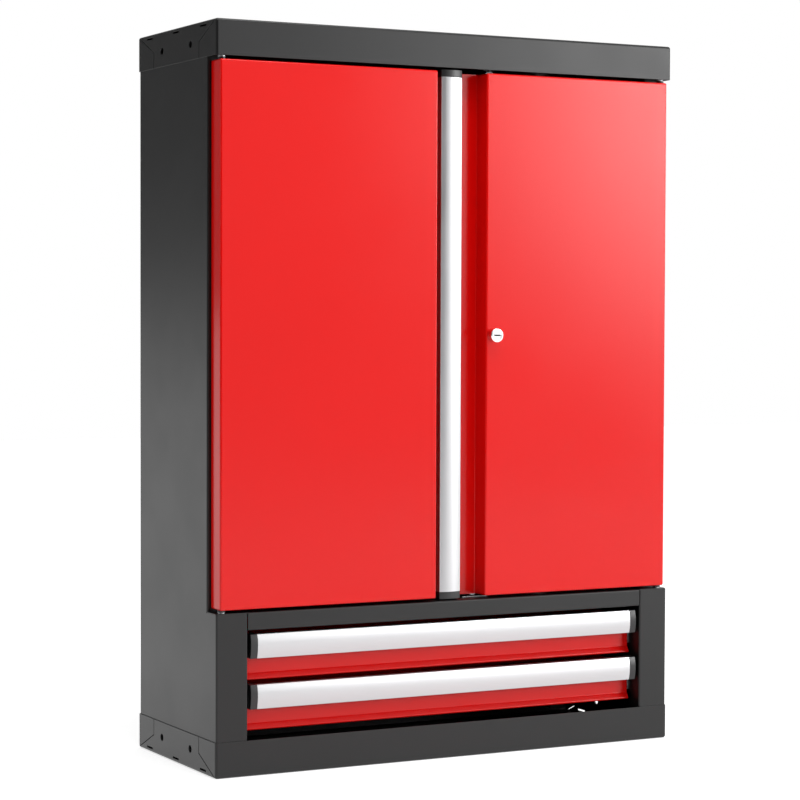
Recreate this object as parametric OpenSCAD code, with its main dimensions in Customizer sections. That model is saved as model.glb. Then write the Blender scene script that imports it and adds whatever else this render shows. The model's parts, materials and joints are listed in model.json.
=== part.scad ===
// Wall tool cabinet in folded sheet steel: two hinged doors with a rod lock over two drawers on slides.
// Millimetres. The origin is the centre of the underside, X runs to the right, Y to the back, Z up.

/* [Carcase] */
// Overall width across the trays
body_w = 712; // [600:1:900]
// Depth from the front of the trays to their back
body_d = 273; // [262:1:340]
// Overall height
body_h = 1000; // [900:1:1300]
// Thickness of the carcase sheet
sheet_t = 1.2; // [1:0.1:1.5]
// Outer radius of the bends of the top cover and bottom tray
tray_bend_r = 3.6; // [2.4:0.1:3.6]
// Height of the top cover and of the bottom tray
tray_h = 48; // [42:1:56]
// Outer radius of the bends of the side panels and the cross rail
panel_bend_r = 2.4; // [2.4:0.1:3]
// Gap between a side panel's end and the plate of the tray that takes it
panel_end_gap = 9; // [8.6:0.2:11]

/* [Tray corners] */
// How far the seam of a corner tab runs in from the corner
tab_w = 57; // [45:1:62]
// How far that seam has dropped where it turns square to the edge
tab_drop = 26; // [20:1:32]
// Width of the seam
seam_w = 1; // [0.4:0.1:1.2]
// Length of a bend slot
relief_l = 20; // [12:1:26]
// Height of a bend slot
relief_h = 2.5; // [2:0.1:3]
// Distance from the edge of the tray to the middle of its bend slots
relief_in = 6; // [5.5:0.5:8]
// Distance between neighbouring bend slots
relief_pitch = 94; // [80:1:98]
// Diameter of the holes that link two cabinets
link_d = 10; // [6:0.5:12]
// Distance between the two link holes
link_pitch = 100; // [90:1:110]
// Distance from the top or bottom of the cabinet to the link holes
link_in = 27; // [25:0.5:30]

/* [Side panels] */
// Width of the flanges beside the doors
flange_w = 25; // [22:1:32]
// Depth of the lips at the inner edge of the flanges
flange_lip = 24; // [22:1:28]
// Width of the stiles beside the drawers, from the outside of the cabinet
stile_w = 46.8; // [40:0.2:56]
// Height of a slot that takes a shelf clip
clip_slot_h = 9; // [8:0.5:12]
// Width of a slot that takes a shelf clip
clip_slot_w = 5; // [4:0.5:7]
// Distance between neighbouring clip slots
clip_pitch = 49; // [40:1:60]
// Least distance from the compartment's floor or header to the middle of a clip slot
clip_margin = 50; // [40:1:60]

/* [Compartment] */
// Height of the top face of the compartment floor
floor_z = 218.4; // [216:0.2:240]
// Height of the cross rail under the compartment floor
rail_h = 24; // [18:1:25]
// Depth of the lip under the cross rail
rail_lip = 14; // [10:1:18]
// Gap between the cross rail and each stile
rail_seam = 0.4; // [0.2:0.1:0.8]
// Height of the header's underside above the lower edge of the top cover
header_up = 4; // [3:0.5:7]
// Height of the flange at the front of the header
header_flange = 20; // [12:1:26]
// Height of a shelf's edges
shelf_h = 25; // [18:1:32]
// Thickness of the shelf sheet
shelf_t = 1; // [0.8:0.1:1.2]
// Outer radius of the bends of a shelf
shelf_bend_r = 2.5; // [2:0.1:3.5]
// Distance from the side panels' front flange back to the front of a shelf
shelf_back = 11; // [10:0.5:12]
// Gap between the back of a shelf and the rear flanges
shelf_rear_gap = 3; // [1:0.5:5]
// Clip row, counted from the middle one, that carries each shelf
shelf_row = 3; // [2:1:4]
// Height of the plate of a shelf clip
clip_h = 22; // [18:1:26]
// Width of a shelf clip
clip_w = 11; // [9:0.5:12]
// Length of the ledge of a shelf clip
clip_ledge = 14; // [10:1:20]
// Thickness of a shelf clip
clip_t = 1.2; // [1:0.1:1.5]

/* [Back] */
// Diameter of the four holes for the wall bolts
wall_d = 10; // [8:0.5:12]
// Distance from the side of the cabinet to the wall bolts
wall_in = 56; // [48:1:120]
// Height of the lower wall bolts above the compartment floor
wall_up = 46.6; // [20:0.2:150]
// Distance from the lower edge of the top cover down to the upper wall bolts
wall_down = 47; // [20:1:150]
// Number of rivets up each side of the back panel
rivet_rows = 6; // [4:1:8]
// Distance from the top cover or bottom tray to the nearest of those rivets
rivet_in = 20; // [10:1:30]
// Diameter of a rivet's shank
rivet_d = 4; // [3:0.2:4.8]
// Diameter of a rivet's head
rivet_head_d = 8; // [7:0.5:9]
// Height of a rivet's head
rivet_head_h = 1; // [0.6:0.1:1.1]

/* [Doors] */
// Thickness of the door sheet
door_t = 1; // [0.8:0.1:1.2]
// Depth of the doors
door_d = 30; // [28:0.5:34]
// Outer radius of the door's bends
door_bend_r = 2.5; // [2:0.1:3.5]
// Width of the lips round the back of a door
door_lip = 15; // [12:1:20]
// Distance from the side of the cabinet to the door
door_side_gap = 6.5; // [5.5:0.5:8]
// Gap between the compartment floor and the doors
door_bottom_gap = 4.2; // [3.8:0.1:6]
// Gap between the lower edge of the top cover and the doors
door_top_gap = 4.5; // [4:0.1:6]
// Gap between the back of a closed door and the flange behind it
door_rear_gap = 1.5; // [1.3:0.1:2.5]
// Distance from the cabinet's centre line to the free edge of the left door
left_edge = 25.7; // [23:0.1:30]
// Distance from the cabinet's centre line to the front panel of the right door
right_edge = 51.6; // [46:0.1:56]
// Gap between the left door and the recess of the right door
recess_gap = 2.7; // [2:0.1:3.5]
// Depth of the return along the free edge of the recess
recess_return = 8; // [5:0.5:10]
// Width of the crest of a door stiffener
hat_w = 40; // [30:1:60]
// Width of each foot of a door stiffener
hat_foot = 12; // [8:1:16]
// Gap between a stiffener's ends and the bends of the door
hat_end_gap = 0.5; // [0.3:0.1:1]

/* [Hinges] */
// Diameter of a hinge pin
pin_d = 6; // [5:0.2:6.4]
// Running clearance round a hinge pin, on the radius
pin_fit = 0.08; // [0.05:0.01:0.1]
// Distance from the outer side of the door to the hinge axis
hinge_in = 6; // [5.8:0.1:6.5]
// Distance from the door's front to the hinge axis
hinge_back = 10; // [9:0.5:11]
// Wall of the bush that turns on the pin
bush_wall = 1.4; // [1.2:0.1:1.5]
// Length of the bush inside the door
bush_l = 12; // [10:1:16]
// Thickness of the bush's flange
bush_flange_h = 2.6; // [1:0.1:2.8]
// How far the bush's flange stands out past its wall
bush_flange_w = 0.9; // [0.7:0.1:1]
// Height left between the bush and the collar of its pin
hinge_float = 0.3; // [0.3:0.1:0.5]
// How far the pin's collar stands out past the pin
collar_w = 2; // [1.5:0.1:2.4]
// Length of the pin inside the bush
pin_reach = 10; // [8:0.5:10]

/* [Lock] */
// Diameter of the lock's head
lock_d = 19.5; // [18:0.5:20]
// How far the head stands out from the door
lock_out = 12; // [8:0.5:14]
// Bevel round the front of the head
lock_bevel = 0.8; // [0.4:0.1:1.2]
// Diameter of the lock's body behind the panel
lock_body_d = 16; // [15:0.5:17]
// Diameter of the turning plug
plug_d = 12; // [11:0.2:12.6]
// Running clearance round the plug, on the radius
plug_fit = 0.05; // [0.03:0.01:0.08]
// Distance from the edge of the right door's panel to the lock's axis
lock_in = 11.4; // [11.2:0.1:13]
// Length of the key slot
key_l = 10; // [8:0.5:10.5]
// Height of the key slot
key_h = 1.9; // [1.4:0.1:2.4]
// Depth of the key slot
key_deep = 14; // [8:1:20]
// Gap between the ring nut behind the panel and the side of the door
nut_gap = 0.4; // [0.3:0.1:0.8]
// Thickness of the ring nut
nut_h = 5; // [4:0.5:7]
// Side of the square end of the plug that drives the cam
square_w = 7.6; // [7:0.2:8]
// Distance from the lock's axis to the pins of the cam
cam_r = 14; // [13:0.5:14.5]
// Width of the cam
cam_w = 13; // [12:0.5:14]
// Thickness of the cam
cam_t = 3; // [2.5:0.5:4]
// Diameter of the cam's pins
cam_pin_d = 5; // [4:0.5:5.5]
// Angle through which the lock turns
lock_turn = 90; // [80:1:90]

/* [Rods] */
// Width of the flat rods
rod_w = 14; // [13:0.5:15]
// Thickness of the flat rods
rod_t = 3; // [2.5:0.5:4]
// Play of a cam pin in its slot, on each side
rod_play = 0.6; // [0.5:0.05:0.8]
// Gap between pieces of the rod gear that slide past each other
rod_gap = 0.4; // [0.3:0.05:0.5]
// Gap round a rod in the slot of its strike plate
rod_slot_gap = 1; // [0.9:0.1:1.4]
// How far the lower rod stands out of the door when it is drawn back
rod_low = 2.4; // [1:0.1:2.6]
// How far the upper rod stands out of the door when it is drawn back
rod_high = 6; // [3:0.1:6.4]
// Taper at the tip of a rod
rod_taper = 4; // [2:0.5:5]
// Width of a rod guide
guide_w = 20; // [18:0.5:21]
// Height of a rod guide
guide_h = 12; // [8:1:18]
// Wall of a rod guide behind the rod
guide_wall = 1.2; // [1:0.1:1.5]
// Distance from the door's top or bottom edge to the outer guides
guide_in = 32; // [26:1:60]
// Distance from the lock to the inner guides
guide_mid = 110; // [60:5:160]
// Width of the plate that closes the door behind the lock
lock_plate_w = 56; // [52:1:64]
// How far that plate laps over the recess
lock_plate_lap = 8; // [6:0.5:10]
// Length of a strike plate
strike_l = 40; // [34:1:50]
// Width of a strike plate
strike_w = 18; // [14:1:20]
// Thickness of a strike plate
strike_t = 1; // [0.8:0.1:1.2]

/* [Grips] */
// Width of the aluminium grip section
grip_w = 32.5; // [31:0.5:34]
// Depth of the grip section
grip_d = 23.5; // [22:0.5:24.5]
// Wall of the grip section
grip_t = 2; // [1.6:0.1:2.4]
// Radius of the crowned front of the grip
crown_r = 50; // [40:1:90]
// Outer corner radius of the grip section
grip_corner_r = 3; // [2.8:0.1:4]
// Width of the foot by which the grip is fixed
grip_foot = 20; // [18:0.5:22]
// Depth of the finger edge of the grip
grip_edge = 8; // [6:0.5:9]
// How far the door grip stands out past the top and the bottom of its door
grip_over = 2.5; // [0:0.1:2.6]
// Length of an end cap
cap_l = 10; // [8:0.5:14]
// Length of the plug of an end cap inside the grip
cap_plug = 9; // [6:0.5:12]
// Gap round the plug of a cap
cap_fit = 0.2; // [0.1:0.05:0.3]
// Distance from the end caps to the outer grip screws
grip_screw_in = 50; // [20:1:80]
// Diameter of a grip screw's shank
screw_d = 4; // [3:0.5:5]
// Diameter of a grip screw's head
screw_head_d = 7.6; // [7:0.2:8]
// Height of a grip screw's head
screw_head_h = 2; // [1.5:0.1:2.5]

/* [Drawers] */
// Gap between the cross rail and the upper drawer's grip
drawer_top_gap = 5.95; // [5.5:0.05:7]
// Distance from one drawer to the next
drawer_pitch = 67.7; // [66:0.1:69]
// Distance from the front of the cabinet to the drawer's red front
front_back = 25.5; // [25:0.5:28]
// Gap between each end of the red front and its stile
front_gap = 5.2; // [4.4:0.2:8]
// Thickness of the drawer sheet
drawer_t = 1; // [0.8:0.1:1.2]
// Height of the flat part of the red front below the middle of the grip
front_flat = 38; // [36:0.5:39]
// Height of the flared lip of the red front
flare_h = 9; // [7:0.5:11]
// How far the lip flares forward
flare_d = 6; // [4:0.5:8]
// Depth of the return under the lip
flare_return = 8; // [6:0.5:10]
// Depth of the return along the top of the red front
front_top_return = 5; // [3:0.5:5]
// Height of the grip above the top edge of a drawer front
front_top_drop = 2.5; // [0:0.5:3]
// Inner radius of the bends of the red front
front_bend_r = 0.8; // [0.4:0.1:1.2]
// Depth of the returns at the ends of the red front
front_end_return = 4; // [3:0.5:4.5]
// Height of the drawer box
box_h = 50; // [46:0.5:52]
// Distance from the middle of the grip down to the bottom of the box
box_drop = 42; // [40:0.5:43]
// Distance from the top edge of the drawer box down to the screws of its grip
box_screw_in = 4.75; // [4:0.05:6]
// How far the drawer box stops short of the back ends of its slides
box_short = 1; // [0:1:10]
// Outer radius of the bends of the drawer box
box_bend_r = 2; // [1.6:0.1:3]

/* [Slides] */
// Gap between the back ends of the slides and the back panel
slide_rear_gap = 29.1; // [24.1:1:40]
// Distance from the ends of a slide to its rivets
slide_rivet_in = 30; // [20:1:50]
// Width of a slide across all its members
slide_w = 12.7; // [12.4:0.1:13]
// Height of the slide's outer member
slide_h = 35; // [33:0.5:40]
// Thickness of the slide's members
slide_t = 1.2; // [1:0.1:1.4]
// Height of the ball race between neighbouring members
race_h = 2.9; // [2.7:0.1:3.1]
// Gap between neighbouring members across the slide
slide_gap = 0.6; // [0.5:0.05:0.7]
// Thickness of the bracket that carries the slides
bracket_t = 1.2; // [1:0.1:1.5]
// Width of the bracket's flanges
bracket_flange = 15; // [10:1:20]
// Height of the bracket above and below its slides
bracket_over = 8; // [6:0.5:10]

/* [Hidden] */
$fn = 48;
// Overshoot of a cut past the face it opens
over = 0.5;
// Clearance of a hole round a fixed pin, screw or rivet, on the radius
hole_fit = 0.1;

// Carcase planes
front_y = -body_d / 2;
inner_x = body_w / 2 - sheet_t;
panel_front_y = front_y + sheet_t;
back_y = body_d / 2 - sheet_t;
panel_back_y = back_y - sheet_t;
flange_y = front_y + door_d + door_rear_gap;
wall_x = inner_x - sheet_t;
lip_x = inner_x - flange_w;
stile_x = body_w / 2 - stile_w;
panel_z0 = sheet_t + panel_end_gap;
panel_z1 = body_h - sheet_t - panel_end_gap;
floor_under = floor_z - sheet_t;
fascia_z = body_h - tray_h;
header_z = fascia_z + header_up;

// Doors
door_z0 = floor_z + door_bottom_gap;
door_z1 = fascia_z - door_top_gap;
door_h = door_z1 - door_z0;
door_mid_z = (door_z0 + door_z1) / 2;
door_outer_x = body_w / 2 - door_side_gap;
door_rear_y = front_y + door_d;
recess_x = -left_edge + recess_gap;
recess_y = door_rear_y - door_t;
hinge_x = door_outer_x - hinge_in;
hinge_y = front_y + hinge_back;
pin_r = pin_d / 2;
bore_r = pin_r + pin_fit;
bush_r = bore_r + bush_wall;

// Lock and rods, from the door's back towards the compartment
lock_x = right_edge + lock_in;
lock_z = door_mid_z;
lock_plate_y = door_rear_y + door_t;
cam_y = lock_plate_y + rod_gap;
rod_y = cam_y + cam_t + rod_gap;
rod_rear_y = rod_y + rod_t;
guide_rear_y = rod_rear_y + rod_gap + guide_wall;
cam_lift = cam_r * sin(lock_turn / 2);
cam_reach = cam_r * cos(lock_turn / 2);
rod_off = (cam_reach + cam_r) / 2;
upper_rod_x = lock_x + rod_off;
lower_rod_x = lock_x - rod_off;
plug_r = plug_d / 2;
nut_r = lock_in - door_t - nut_gap;
nut_front_r = lock_in - door_bend_r - hole_fit;

// Straight length of the door grip between its end caps
door_grip_bar_l = door_h + 2 * grip_over - 2 * cap_l;

// Drawers and slides, the slide's width counted from the bracket to the drawer box
drawer_z = floor_z - rail_h - drawer_top_gap - grip_w / 2;
front_w = 2 * (stile_x - front_gap);
drawer_grip_bar_l = front_w - 2 * cap_l;
front_top = grip_w / 2 - front_top_drop;
bracket_x = stile_x + sheet_t;
runner_x = bracket_x - slide_w;
front_face_y = front_y + front_back;
box_y = front_face_y + drawer_t;
slide_y = box_y + front_end_return + drawer_t;
slide_l = panel_back_y - slide_rear_gap - slide_y;
box_d = slide_y + slide_l - box_short - box_y;
slide_z = drawer_z - box_drop + box_h / 2;
middle_h = slide_h - 2 * slide_t - 2 * race_h;
runner_h = middle_h - 2 * slide_t - 2 * race_h;
middle_u = slide_t + slide_gap;
runner_u = slide_w - slide_t;

// Shelves
shelf_y = flange_y + shelf_back;
shelf_half = lip_x - clip_t - slide_gap;
clip_mid_z = floor_z + (header_z - floor_z) / 2;
clip_reach = floor((header_z - clip_mid_z - clip_margin) / clip_pitch);
ledge_z = [for (s = [-1, 1]) clip_row_z(s * shelf_row)];

paint_dark = "#303234";
paint_red = "#e02a22";
steel = "#b9bcbf";
alu = "#d9dadb";
plastic = "#3a3c3e";

// Rectangle with round corners, centred
module rounded_rect(w, h, r) {
  square([w - 2 * r, h], center = true);
  square([w, h - 2 * r], center = true);
  for (x = [-1, 1], y = [-1, 1])
    translate([x * (w / 2 - r), y * (h / 2 - r)])
      circle(r = r);
}

// Outline that stands on the X axis and has round corners at the top only
module arched_rect(w, h, r) {
  translate([-w / 2, 0])
    square([w, h - r]);
  translate([-w / 2 + r, 0])
    square([w - 2 * r, h]);
  for (x = [-1, 1])
    translate([x * (w / 2 - r), h - r])
      circle(r = r);
}

// Block whose upright edges and top edges are bends of radius r, with round corners where they meet
module folded_block(w, d, h, r) {
  linear_extrude(height = h - r)
    rounded_rect(w, d, r);
  rotate([90, 0, 90])
    translate([0, 0, r - w / 2])
      linear_extrude(height = w - 2 * r)
        arched_rect(d, h, r);
  rotate([90, 0, 0])
    translate([0, 0, r - d / 2])
      linear_extrude(height = d - 2 * r)
        arched_rect(w, h, r);
  for (x = [-1, 1], y = [-1, 1])
    translate([x * (w / 2 - r), y * (d / 2 - r), h - r])
      sphere(r = r);
}

// The same block with the three bends of a corner meeting in mitres
module mitred_block(w, d, h, r) {
  intersection() {
    linear_extrude(height = h)
      rounded_rect(w, d, r);
    rotate([90, 0, 90])
      translate([0, 0, -w / 2])
        linear_extrude(height = w)
          arched_rect(d, h, r);
    rotate([90, 0, 0])
      translate([0, 0, -d / 2])
        linear_extrude(height = d)
          arched_rect(w, h, r);
  }
}

// Sheet tray that opens downwards
module folded_tray(w, d, h, t, r) {
  difference() {
    folded_block(w, d, h, r);
    translate([0, 0, -over])
      folded_block(w - 2 * t, d - 2 * t, h - t + over, r - t);
  }
}

// Cylinder along Y that starts at y and runs back by l
module y_rod(x, y, z, r, l) {
  translate([x, y + l, z])
    rotate([90, 0, 0])
      cylinder(r = r, h = l);
}

// Seam between a corner tab and the side of the tray, in the plane of the side
module tab_seam() {
  start = tray_bend_r + seam_w;
  start_y = body_d / 2 - start;
  start_z = tray_h - start * tab_drop / tab_w;
  knee_y = body_d / 2 - tab_w;
  knee_z = tray_h - tab_drop;
  half = seam_w / 2;
  polygon([
    [start_y, start_z + half],
    [start_y, start_z - half],
    [knee_y + half, knee_z - half],
    [knee_y + half, -over],
    [knee_y - half, -over],
    [knee_y - half, knee_z + half]
  ]);
}

// Top cover, standing on the plane of its own lower edge
module tray_sheet() {
  difference() {
    folded_tray(body_w, body_d, tray_h, sheet_t, tray_bend_r);
    for (s = [-1, 1]) {
      for (f = [0, 1])
        translate([s * body_w / 2 - 2 * sheet_t, 0, 0])
          mirror([0, f, 0])
            rotate([90, 0, 90])
              linear_extrude(height = 4 * sheet_t)
                tab_seam();
      for (i = [-1, 0, 1])
        translate([s * body_w / 2, i * relief_pitch, tray_h - relief_in])
          cube([4 * sheet_t, relief_l, relief_h], center = true);
      for (i = [-1, 1])
        translate([s * body_w / 2 - 2 * sheet_t, i * link_pitch / 2, tray_h - link_in])
          rotate([0, 90, 0])
            cylinder(d = link_d, h = 4 * sheet_t);
    }
  }
}

module top_cover() {
  color(paint_dark)
    translate([0, 0, fascia_z])
      tray_sheet();
}

module bottom_tray() {
  color(paint_dark)
    translate([0, 0, tray_h])
      mirror([0, 0, 1])
        tray_sheet();
}

// Plan of a lipped channel whose outer wall is the side of the cabinet, seen for the left side
module channel_plan(w, y0, y1) {
  mid = (y0 + y1) / 2;
  translate([-inner_x + w / 2, mid])
    difference() {
      rounded_rect(w, y1 - y0, panel_bend_r);
      rounded_rect(w - 2 * sheet_t, y1 - y0 - 2 * sheet_t, panel_bend_r - sheet_t);
      translate([w / 2, 0])
        square([3 * sheet_t, y1 - y0 - 2 * flange_lip], center = true);
    }
}

module side_panel() {
  color(paint_dark)
    difference() {
      union() {
        translate([0, 0, panel_z0])
          linear_extrude(height = floor_under - panel_z0)
            channel_plan(inner_x - stile_x, panel_front_y, panel_back_y);
        translate([0, 0, floor_z])
          linear_extrude(height = header_z - floor_z)
            channel_plan(flange_w, flange_y, panel_back_y);
        translate([0, 0, header_z + sheet_t])
          linear_extrude(height = panel_z1 - header_z - sheet_t)
            channel_plan(flange_w, flange_y, panel_back_y);
        translate([-inner_x, flange_y + panel_bend_r, panel_z0])
          cube([sheet_t, panel_back_y - flange_y - 2 * panel_bend_r, panel_z1 - panel_z0]);
      }
      for (z = [link_in, body_h - link_in], i = [-1, 1])
        translate([-inner_x - over, i * link_pitch / 2, z])
          rotate([0, 90, 0])
            cylinder(d = link_d, h = sheet_t + 2 * over);
      for (y = clip_ys(), i = [-clip_reach : clip_reach])
        translate([-lip_x - sheet_t / 2, y, clip_row_z(i)])
          cube([2 * sheet_t, clip_slot_w, clip_slot_h], center = true);
      for (i = [0 : rivet_rows - 1])
        rivet_hole(-rivet_x(), panel_back_y - sheet_t, i);
    }
}

module left_side_panel() {
  side_panel();
}

module right_side_panel() {
  mirror([1, 0, 0])
    side_panel();
}

// Where the clip slots and the rivets are
function clip_row_z(i) = clip_mid_z + i * clip_pitch;
function clip_ys() = [shelf_y + clip_w / 2 + slide_gap, panel_back_y - flange_lip + clip_w / 2 + slide_gap];
function rivet_x() = lip_x + flange_w / 2;
function rivet_z(i) = tray_h + rivet_in + i * (body_h - 2 * (tray_h + rivet_in)) / (rivet_rows - 1);

module rivet_hole(x, y, i) {
  y_rod(x, y - over, rivet_z(i), rivet_d / 2 + hole_fit, sheet_t + 2 * over);
}

module back_panel() {
  half = inner_x - panel_bend_r;
  color(paint_dark)
    difference() {
      translate([-half, panel_back_y, panel_z0])
        cube([2 * half, sheet_t, panel_z1 - panel_z0]);
      for (x = [-1, 1], z = [floor_z + wall_up, fascia_z - wall_down])
        y_rod(x * (body_w / 2 - wall_in), panel_back_y - over, z, wall_d / 2, sheet_t + 2 * over);
      for (x = [-1, 1], i = [0 : rivet_rows - 1])
        rivet_hole(x * rivet_x(), panel_back_y, i);
    }
}

module back_rivets() {
  inner_y = panel_back_y - sheet_t;
  color(steel)
    for (x = [-1, 1], i = [0 : rivet_rows - 1]) {
      y_rod(x * rivet_x(), inner_y, rivet_z(i), rivet_d / 2, 2 * sheet_t);
      y_rod(x * rivet_x(), back_y, rivet_z(i), rivet_head_d / 2, rivet_head_h);
      y_rod(x * rivet_x(), inner_y - rivet_head_h, rivet_z(i), rivet_head_d / 2, rivet_head_h);
    }
}

// Plate across the whole carcase, wider in front where no side panel stands
module cross_plate() {
  linear_extrude(height = sheet_t)
    intersection() {
      rounded_rect(2 * inner_x, 2 * back_y, tray_bend_r);
      union() {
        translate([-inner_x, panel_front_y])
          square([2 * inner_x, flange_y - panel_front_y]);
        translate([-wall_x, flange_y])
          square([2 * wall_x, panel_back_y - sheet_t - flange_y]);
      }
    }
}

// Hole for a hinge pin at each side and one for a rod
module plate_holes(rod_x) {
  gap = rod_slot_gap + rod_gap;
  for (x = [-1, 1])
    translate([x * hinge_x, hinge_y, -over])
      cylinder(r = pin_r + hole_fit, h = sheet_t + 2 * over);
  translate([rod_x, (rod_y + rod_rear_y) / 2, 0])
    cube([rod_w + 2 * gap, rod_t + 2 * gap, 4 * sheet_t], center = true);
}

module compartment_floor() {
  rail_x = stile_x - rail_seam;
  color(paint_dark) {
    translate([0, 0, floor_under])
      difference() {
        cross_plate();
        translate([-rail_x, panel_front_y - over, -over])
          cube([2 * rail_x, panel_bend_r + over, sheet_t + 2 * over]);
        plate_holes(lower_rod_x);
      }
    translate([-rail_x, 0, 0])
      rotate([90, 0, 90])
        linear_extrude(height = 2 * rail_x)
          translate([panel_front_y + rail_lip, floor_z - rail_h / 2])
            difference() {
              rounded_rect(2 * rail_lip, rail_h, panel_bend_r);
              rounded_rect(2 * rail_lip - 2 * sheet_t, rail_h - 2 * sheet_t, panel_bend_r - sheet_t);
              translate([rail_lip, 0])
                square([2 * rail_lip, 2 * rail_h], center = true);
            }
  }
}

module door_header() {
  color(paint_dark)
    translate([0, 0, header_z]) {
      difference() {
        cross_plate();
        plate_holes(upper_rod_x);
      }
      translate([-inner_x + tray_bend_r, panel_front_y, sheet_t])
        cube([2 * (inner_x - tray_bend_r), sheet_t, header_flange - sheet_t]);
    }
}

// Shelf whose edges rest on the ledges of its clips
module shelf(z) {
  d = panel_back_y - sheet_t - shelf_rear_gap - shelf_y;
  color(paint_dark)
    translate([0, shelf_y + d / 2, z])
      folded_tray(2 * shelf_half, d, shelf_h, shelf_t, shelf_bend_r);
}

module upper_shelf() {
  shelf(ledge_z[1]);
}

module lower_shelf() {
  shelf(ledge_z[0]);
}

// Bent clip for the left side, its ledge level with z and its hook in a slot of the lip
module shelf_clip(y, z) {
  translate([-lip_x, y - clip_w / 2, z - clip_h / 2])
    cube([clip_t, clip_w, clip_h]);
  translate([-lip_x, y - clip_w / 2, z - clip_t])
    cube([clip_ledge, clip_w, clip_t]);
  translate([-lip_x - sheet_t - slide_gap, y - clip_slot_w / 2 + hole_fit, z - clip_slot_h / 2 + hole_fit])
    cube([sheet_t + slide_gap + clip_t / 2, clip_slot_w - 2 * hole_fit, clip_slot_h - 2 * hole_fit]);
  translate([-lip_x - sheet_t - slide_gap - clip_t, y - clip_slot_w / 2 + hole_fit, z - clip_slot_h])
    cube([clip_t, clip_slot_w - 2 * hole_fit, clip_slot_h * 3 / 2 - hole_fit]);
}

module shelf_clips() {
  color(steel)
    for (s = [0, 1], y = clip_ys(), z = ledge_z)
      mirror([s, 0, 0])
        shelf_clip(y, z);
}

// Pin on a plate: head on the far side, collar towards the door, shank into the bush
module hinge_pin(gap) {
  collar_h = gap - bush_flange_h - hinge_float;
  translate([0, 0, -sheet_t - rivet_head_h])
    cylinder(r = pin_r + collar_w, h = rivet_head_h);
  translate([0, 0, -sheet_t])
    cylinder(r = pin_r, h = sheet_t + gap + pin_reach);
  cylinder(r = pin_r + collar_w, h = collar_h);
}

module hinge_pins() {
  color(steel)
    for (x = [-1, 1]) {
      translate([x * hinge_x, hinge_y, floor_z])
        hinge_pin(door_bottom_gap);
      translate([x * hinge_x, hinge_y, header_z])
        mirror([0, 0, 1])
          hinge_pin(door_top_gap + header_up);
    }
}

// Plate with a slot for a rod, on its side of the compartment
module strike(x, z) {
  translate([x, (rod_y + rod_rear_y) / 2, z])
    difference() {
      cube([strike_l, strike_w, strike_t], center = true);
      cube([rod_w + 2 * rod_slot_gap, rod_t + 2 * rod_slot_gap, 3 * strike_t], center = true);
    }
}

module rod_strikes() {
  color(steel) {
    strike(lower_rod_x, floor_z + strike_t / 2);
    strike(upper_rod_x, header_z - strike_t / 2);
  }
}

// Door shell seen from its back: skin in front, walls all round and lips at the back
module door_shell(x0, x1, left_lip) {
  w = x1 - x0;
  translate([(x0 + x1) / 2, door_rear_y, door_mid_z])
    rotate([90, 0, 0])
      difference() {
        folded_block(w, door_h, door_d, door_bend_r);
        translate([0, 0, door_t])
          folded_block(w - 2 * door_t, door_h - 2 * door_t, door_d - 2 * door_t, door_bend_r - door_t);
        translate([-w / 2 + left_lip, -door_h / 2 + door_lip, -over])
          cube([w - left_lip - door_lip, door_h - 2 * door_lip, door_t + 2 * over]);
      }
}

// Holes for the two bushes of a door
module bush_holes(x) {
  for (z = [door_z0, door_z1])
    translate([x, hinge_y, z - 2 * door_t])
      cylinder(r = bush_r + hole_fit, h = 4 * door_t);
}

module left_door_panel() {
  color(paint_red)
    difference() {
      door_shell(-door_outer_x, -left_edge, door_lip);
      bush_holes(-hinge_x);
    }
}

// What lies between a corner and its bend of radius r, out to reach from the bend's axis, where the
// side of the right door turns into the floor of its recess
module recess_corner(r, reach) {
  translate([right_edge - door_bend_r + door_t, recess_y - door_bend_r + door_t, door_z0 - reach + r])
    linear_extrude(height = door_h + 2 * (reach - r))
      difference() {
        square(reach);
        circle(r = r);
      }
}

module right_door_panel() {
  color(paint_red)
    difference() {
      union() {
        door_shell(right_edge, door_outer_x, door_t);
        translate([recess_x, recess_y, door_z0])
          cube([right_edge + door_t - recess_x, door_t, door_h]);
        translate([recess_x, recess_y, door_z0])
          cube([door_t, recess_return, door_h]);
        recess_corner(door_bend_r - door_t, door_bend_r - door_t);
      }
      recess_corner(door_bend_r, door_bend_r + over);
      bush_holes(hinge_x);
      y_rod(lock_x, front_y - over, lock_z, lock_body_d / 2 + hole_fit, door_t + 2 * over);
      for (z = grip_screw_zs())
        y_rod(-door_screw_u(), recess_y - over, z, screw_d / 2 + hole_fit, door_t + 2 * over);
    }
}

// Hat section glued to the skin, its crest against the door's lips
module hat_stiffener(x) {
  depth = door_d - 2 * door_t;
  half = hat_w / 2;
  end = door_bend_r + hat_end_gap;
  color(paint_red)
    translate([x, 0, door_z0 + end])
      linear_extrude(height = door_h - 2 * end)
        translate([0, front_y + door_t]) {
          translate([-half, depth - door_t])
            square([hat_w, door_t]);
          for (s = [0, 1])
            mirror([s, 0, 0]) {
              translate([half - door_t, 0])
                square([door_t, depth]);
              translate([half - door_t, 0])
                square([hat_foot, door_t]);
            }
        }
}

module left_door_stiffener() {
  hat_stiffener(-(door_outer_x + left_edge) / 2);
}

module right_door_stiffener() {
  hat_stiffener((door_outer_x + right_edge) / 2);
}

// Flanged bush that points up from the plane z = 0
module bush() {
  difference() {
    union() {
      cylinder(r = bush_r, h = bush_l);
      translate([0, 0, -bush_flange_h])
        cylinder(r = bush_r + bush_flange_w, h = bush_flange_h);
    }
    translate([0, 0, -bush_flange_h - over])
      cylinder(r = bore_r, h = bush_l + bush_flange_h + 2 * over);
  }
}

module door_bushes(x) {
  color(plastic) {
    translate([x, hinge_y, door_z0])
      bush();
    translate([x, hinge_y, door_z1])
      mirror([0, 0, 1])
        bush();
  }
}

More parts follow.
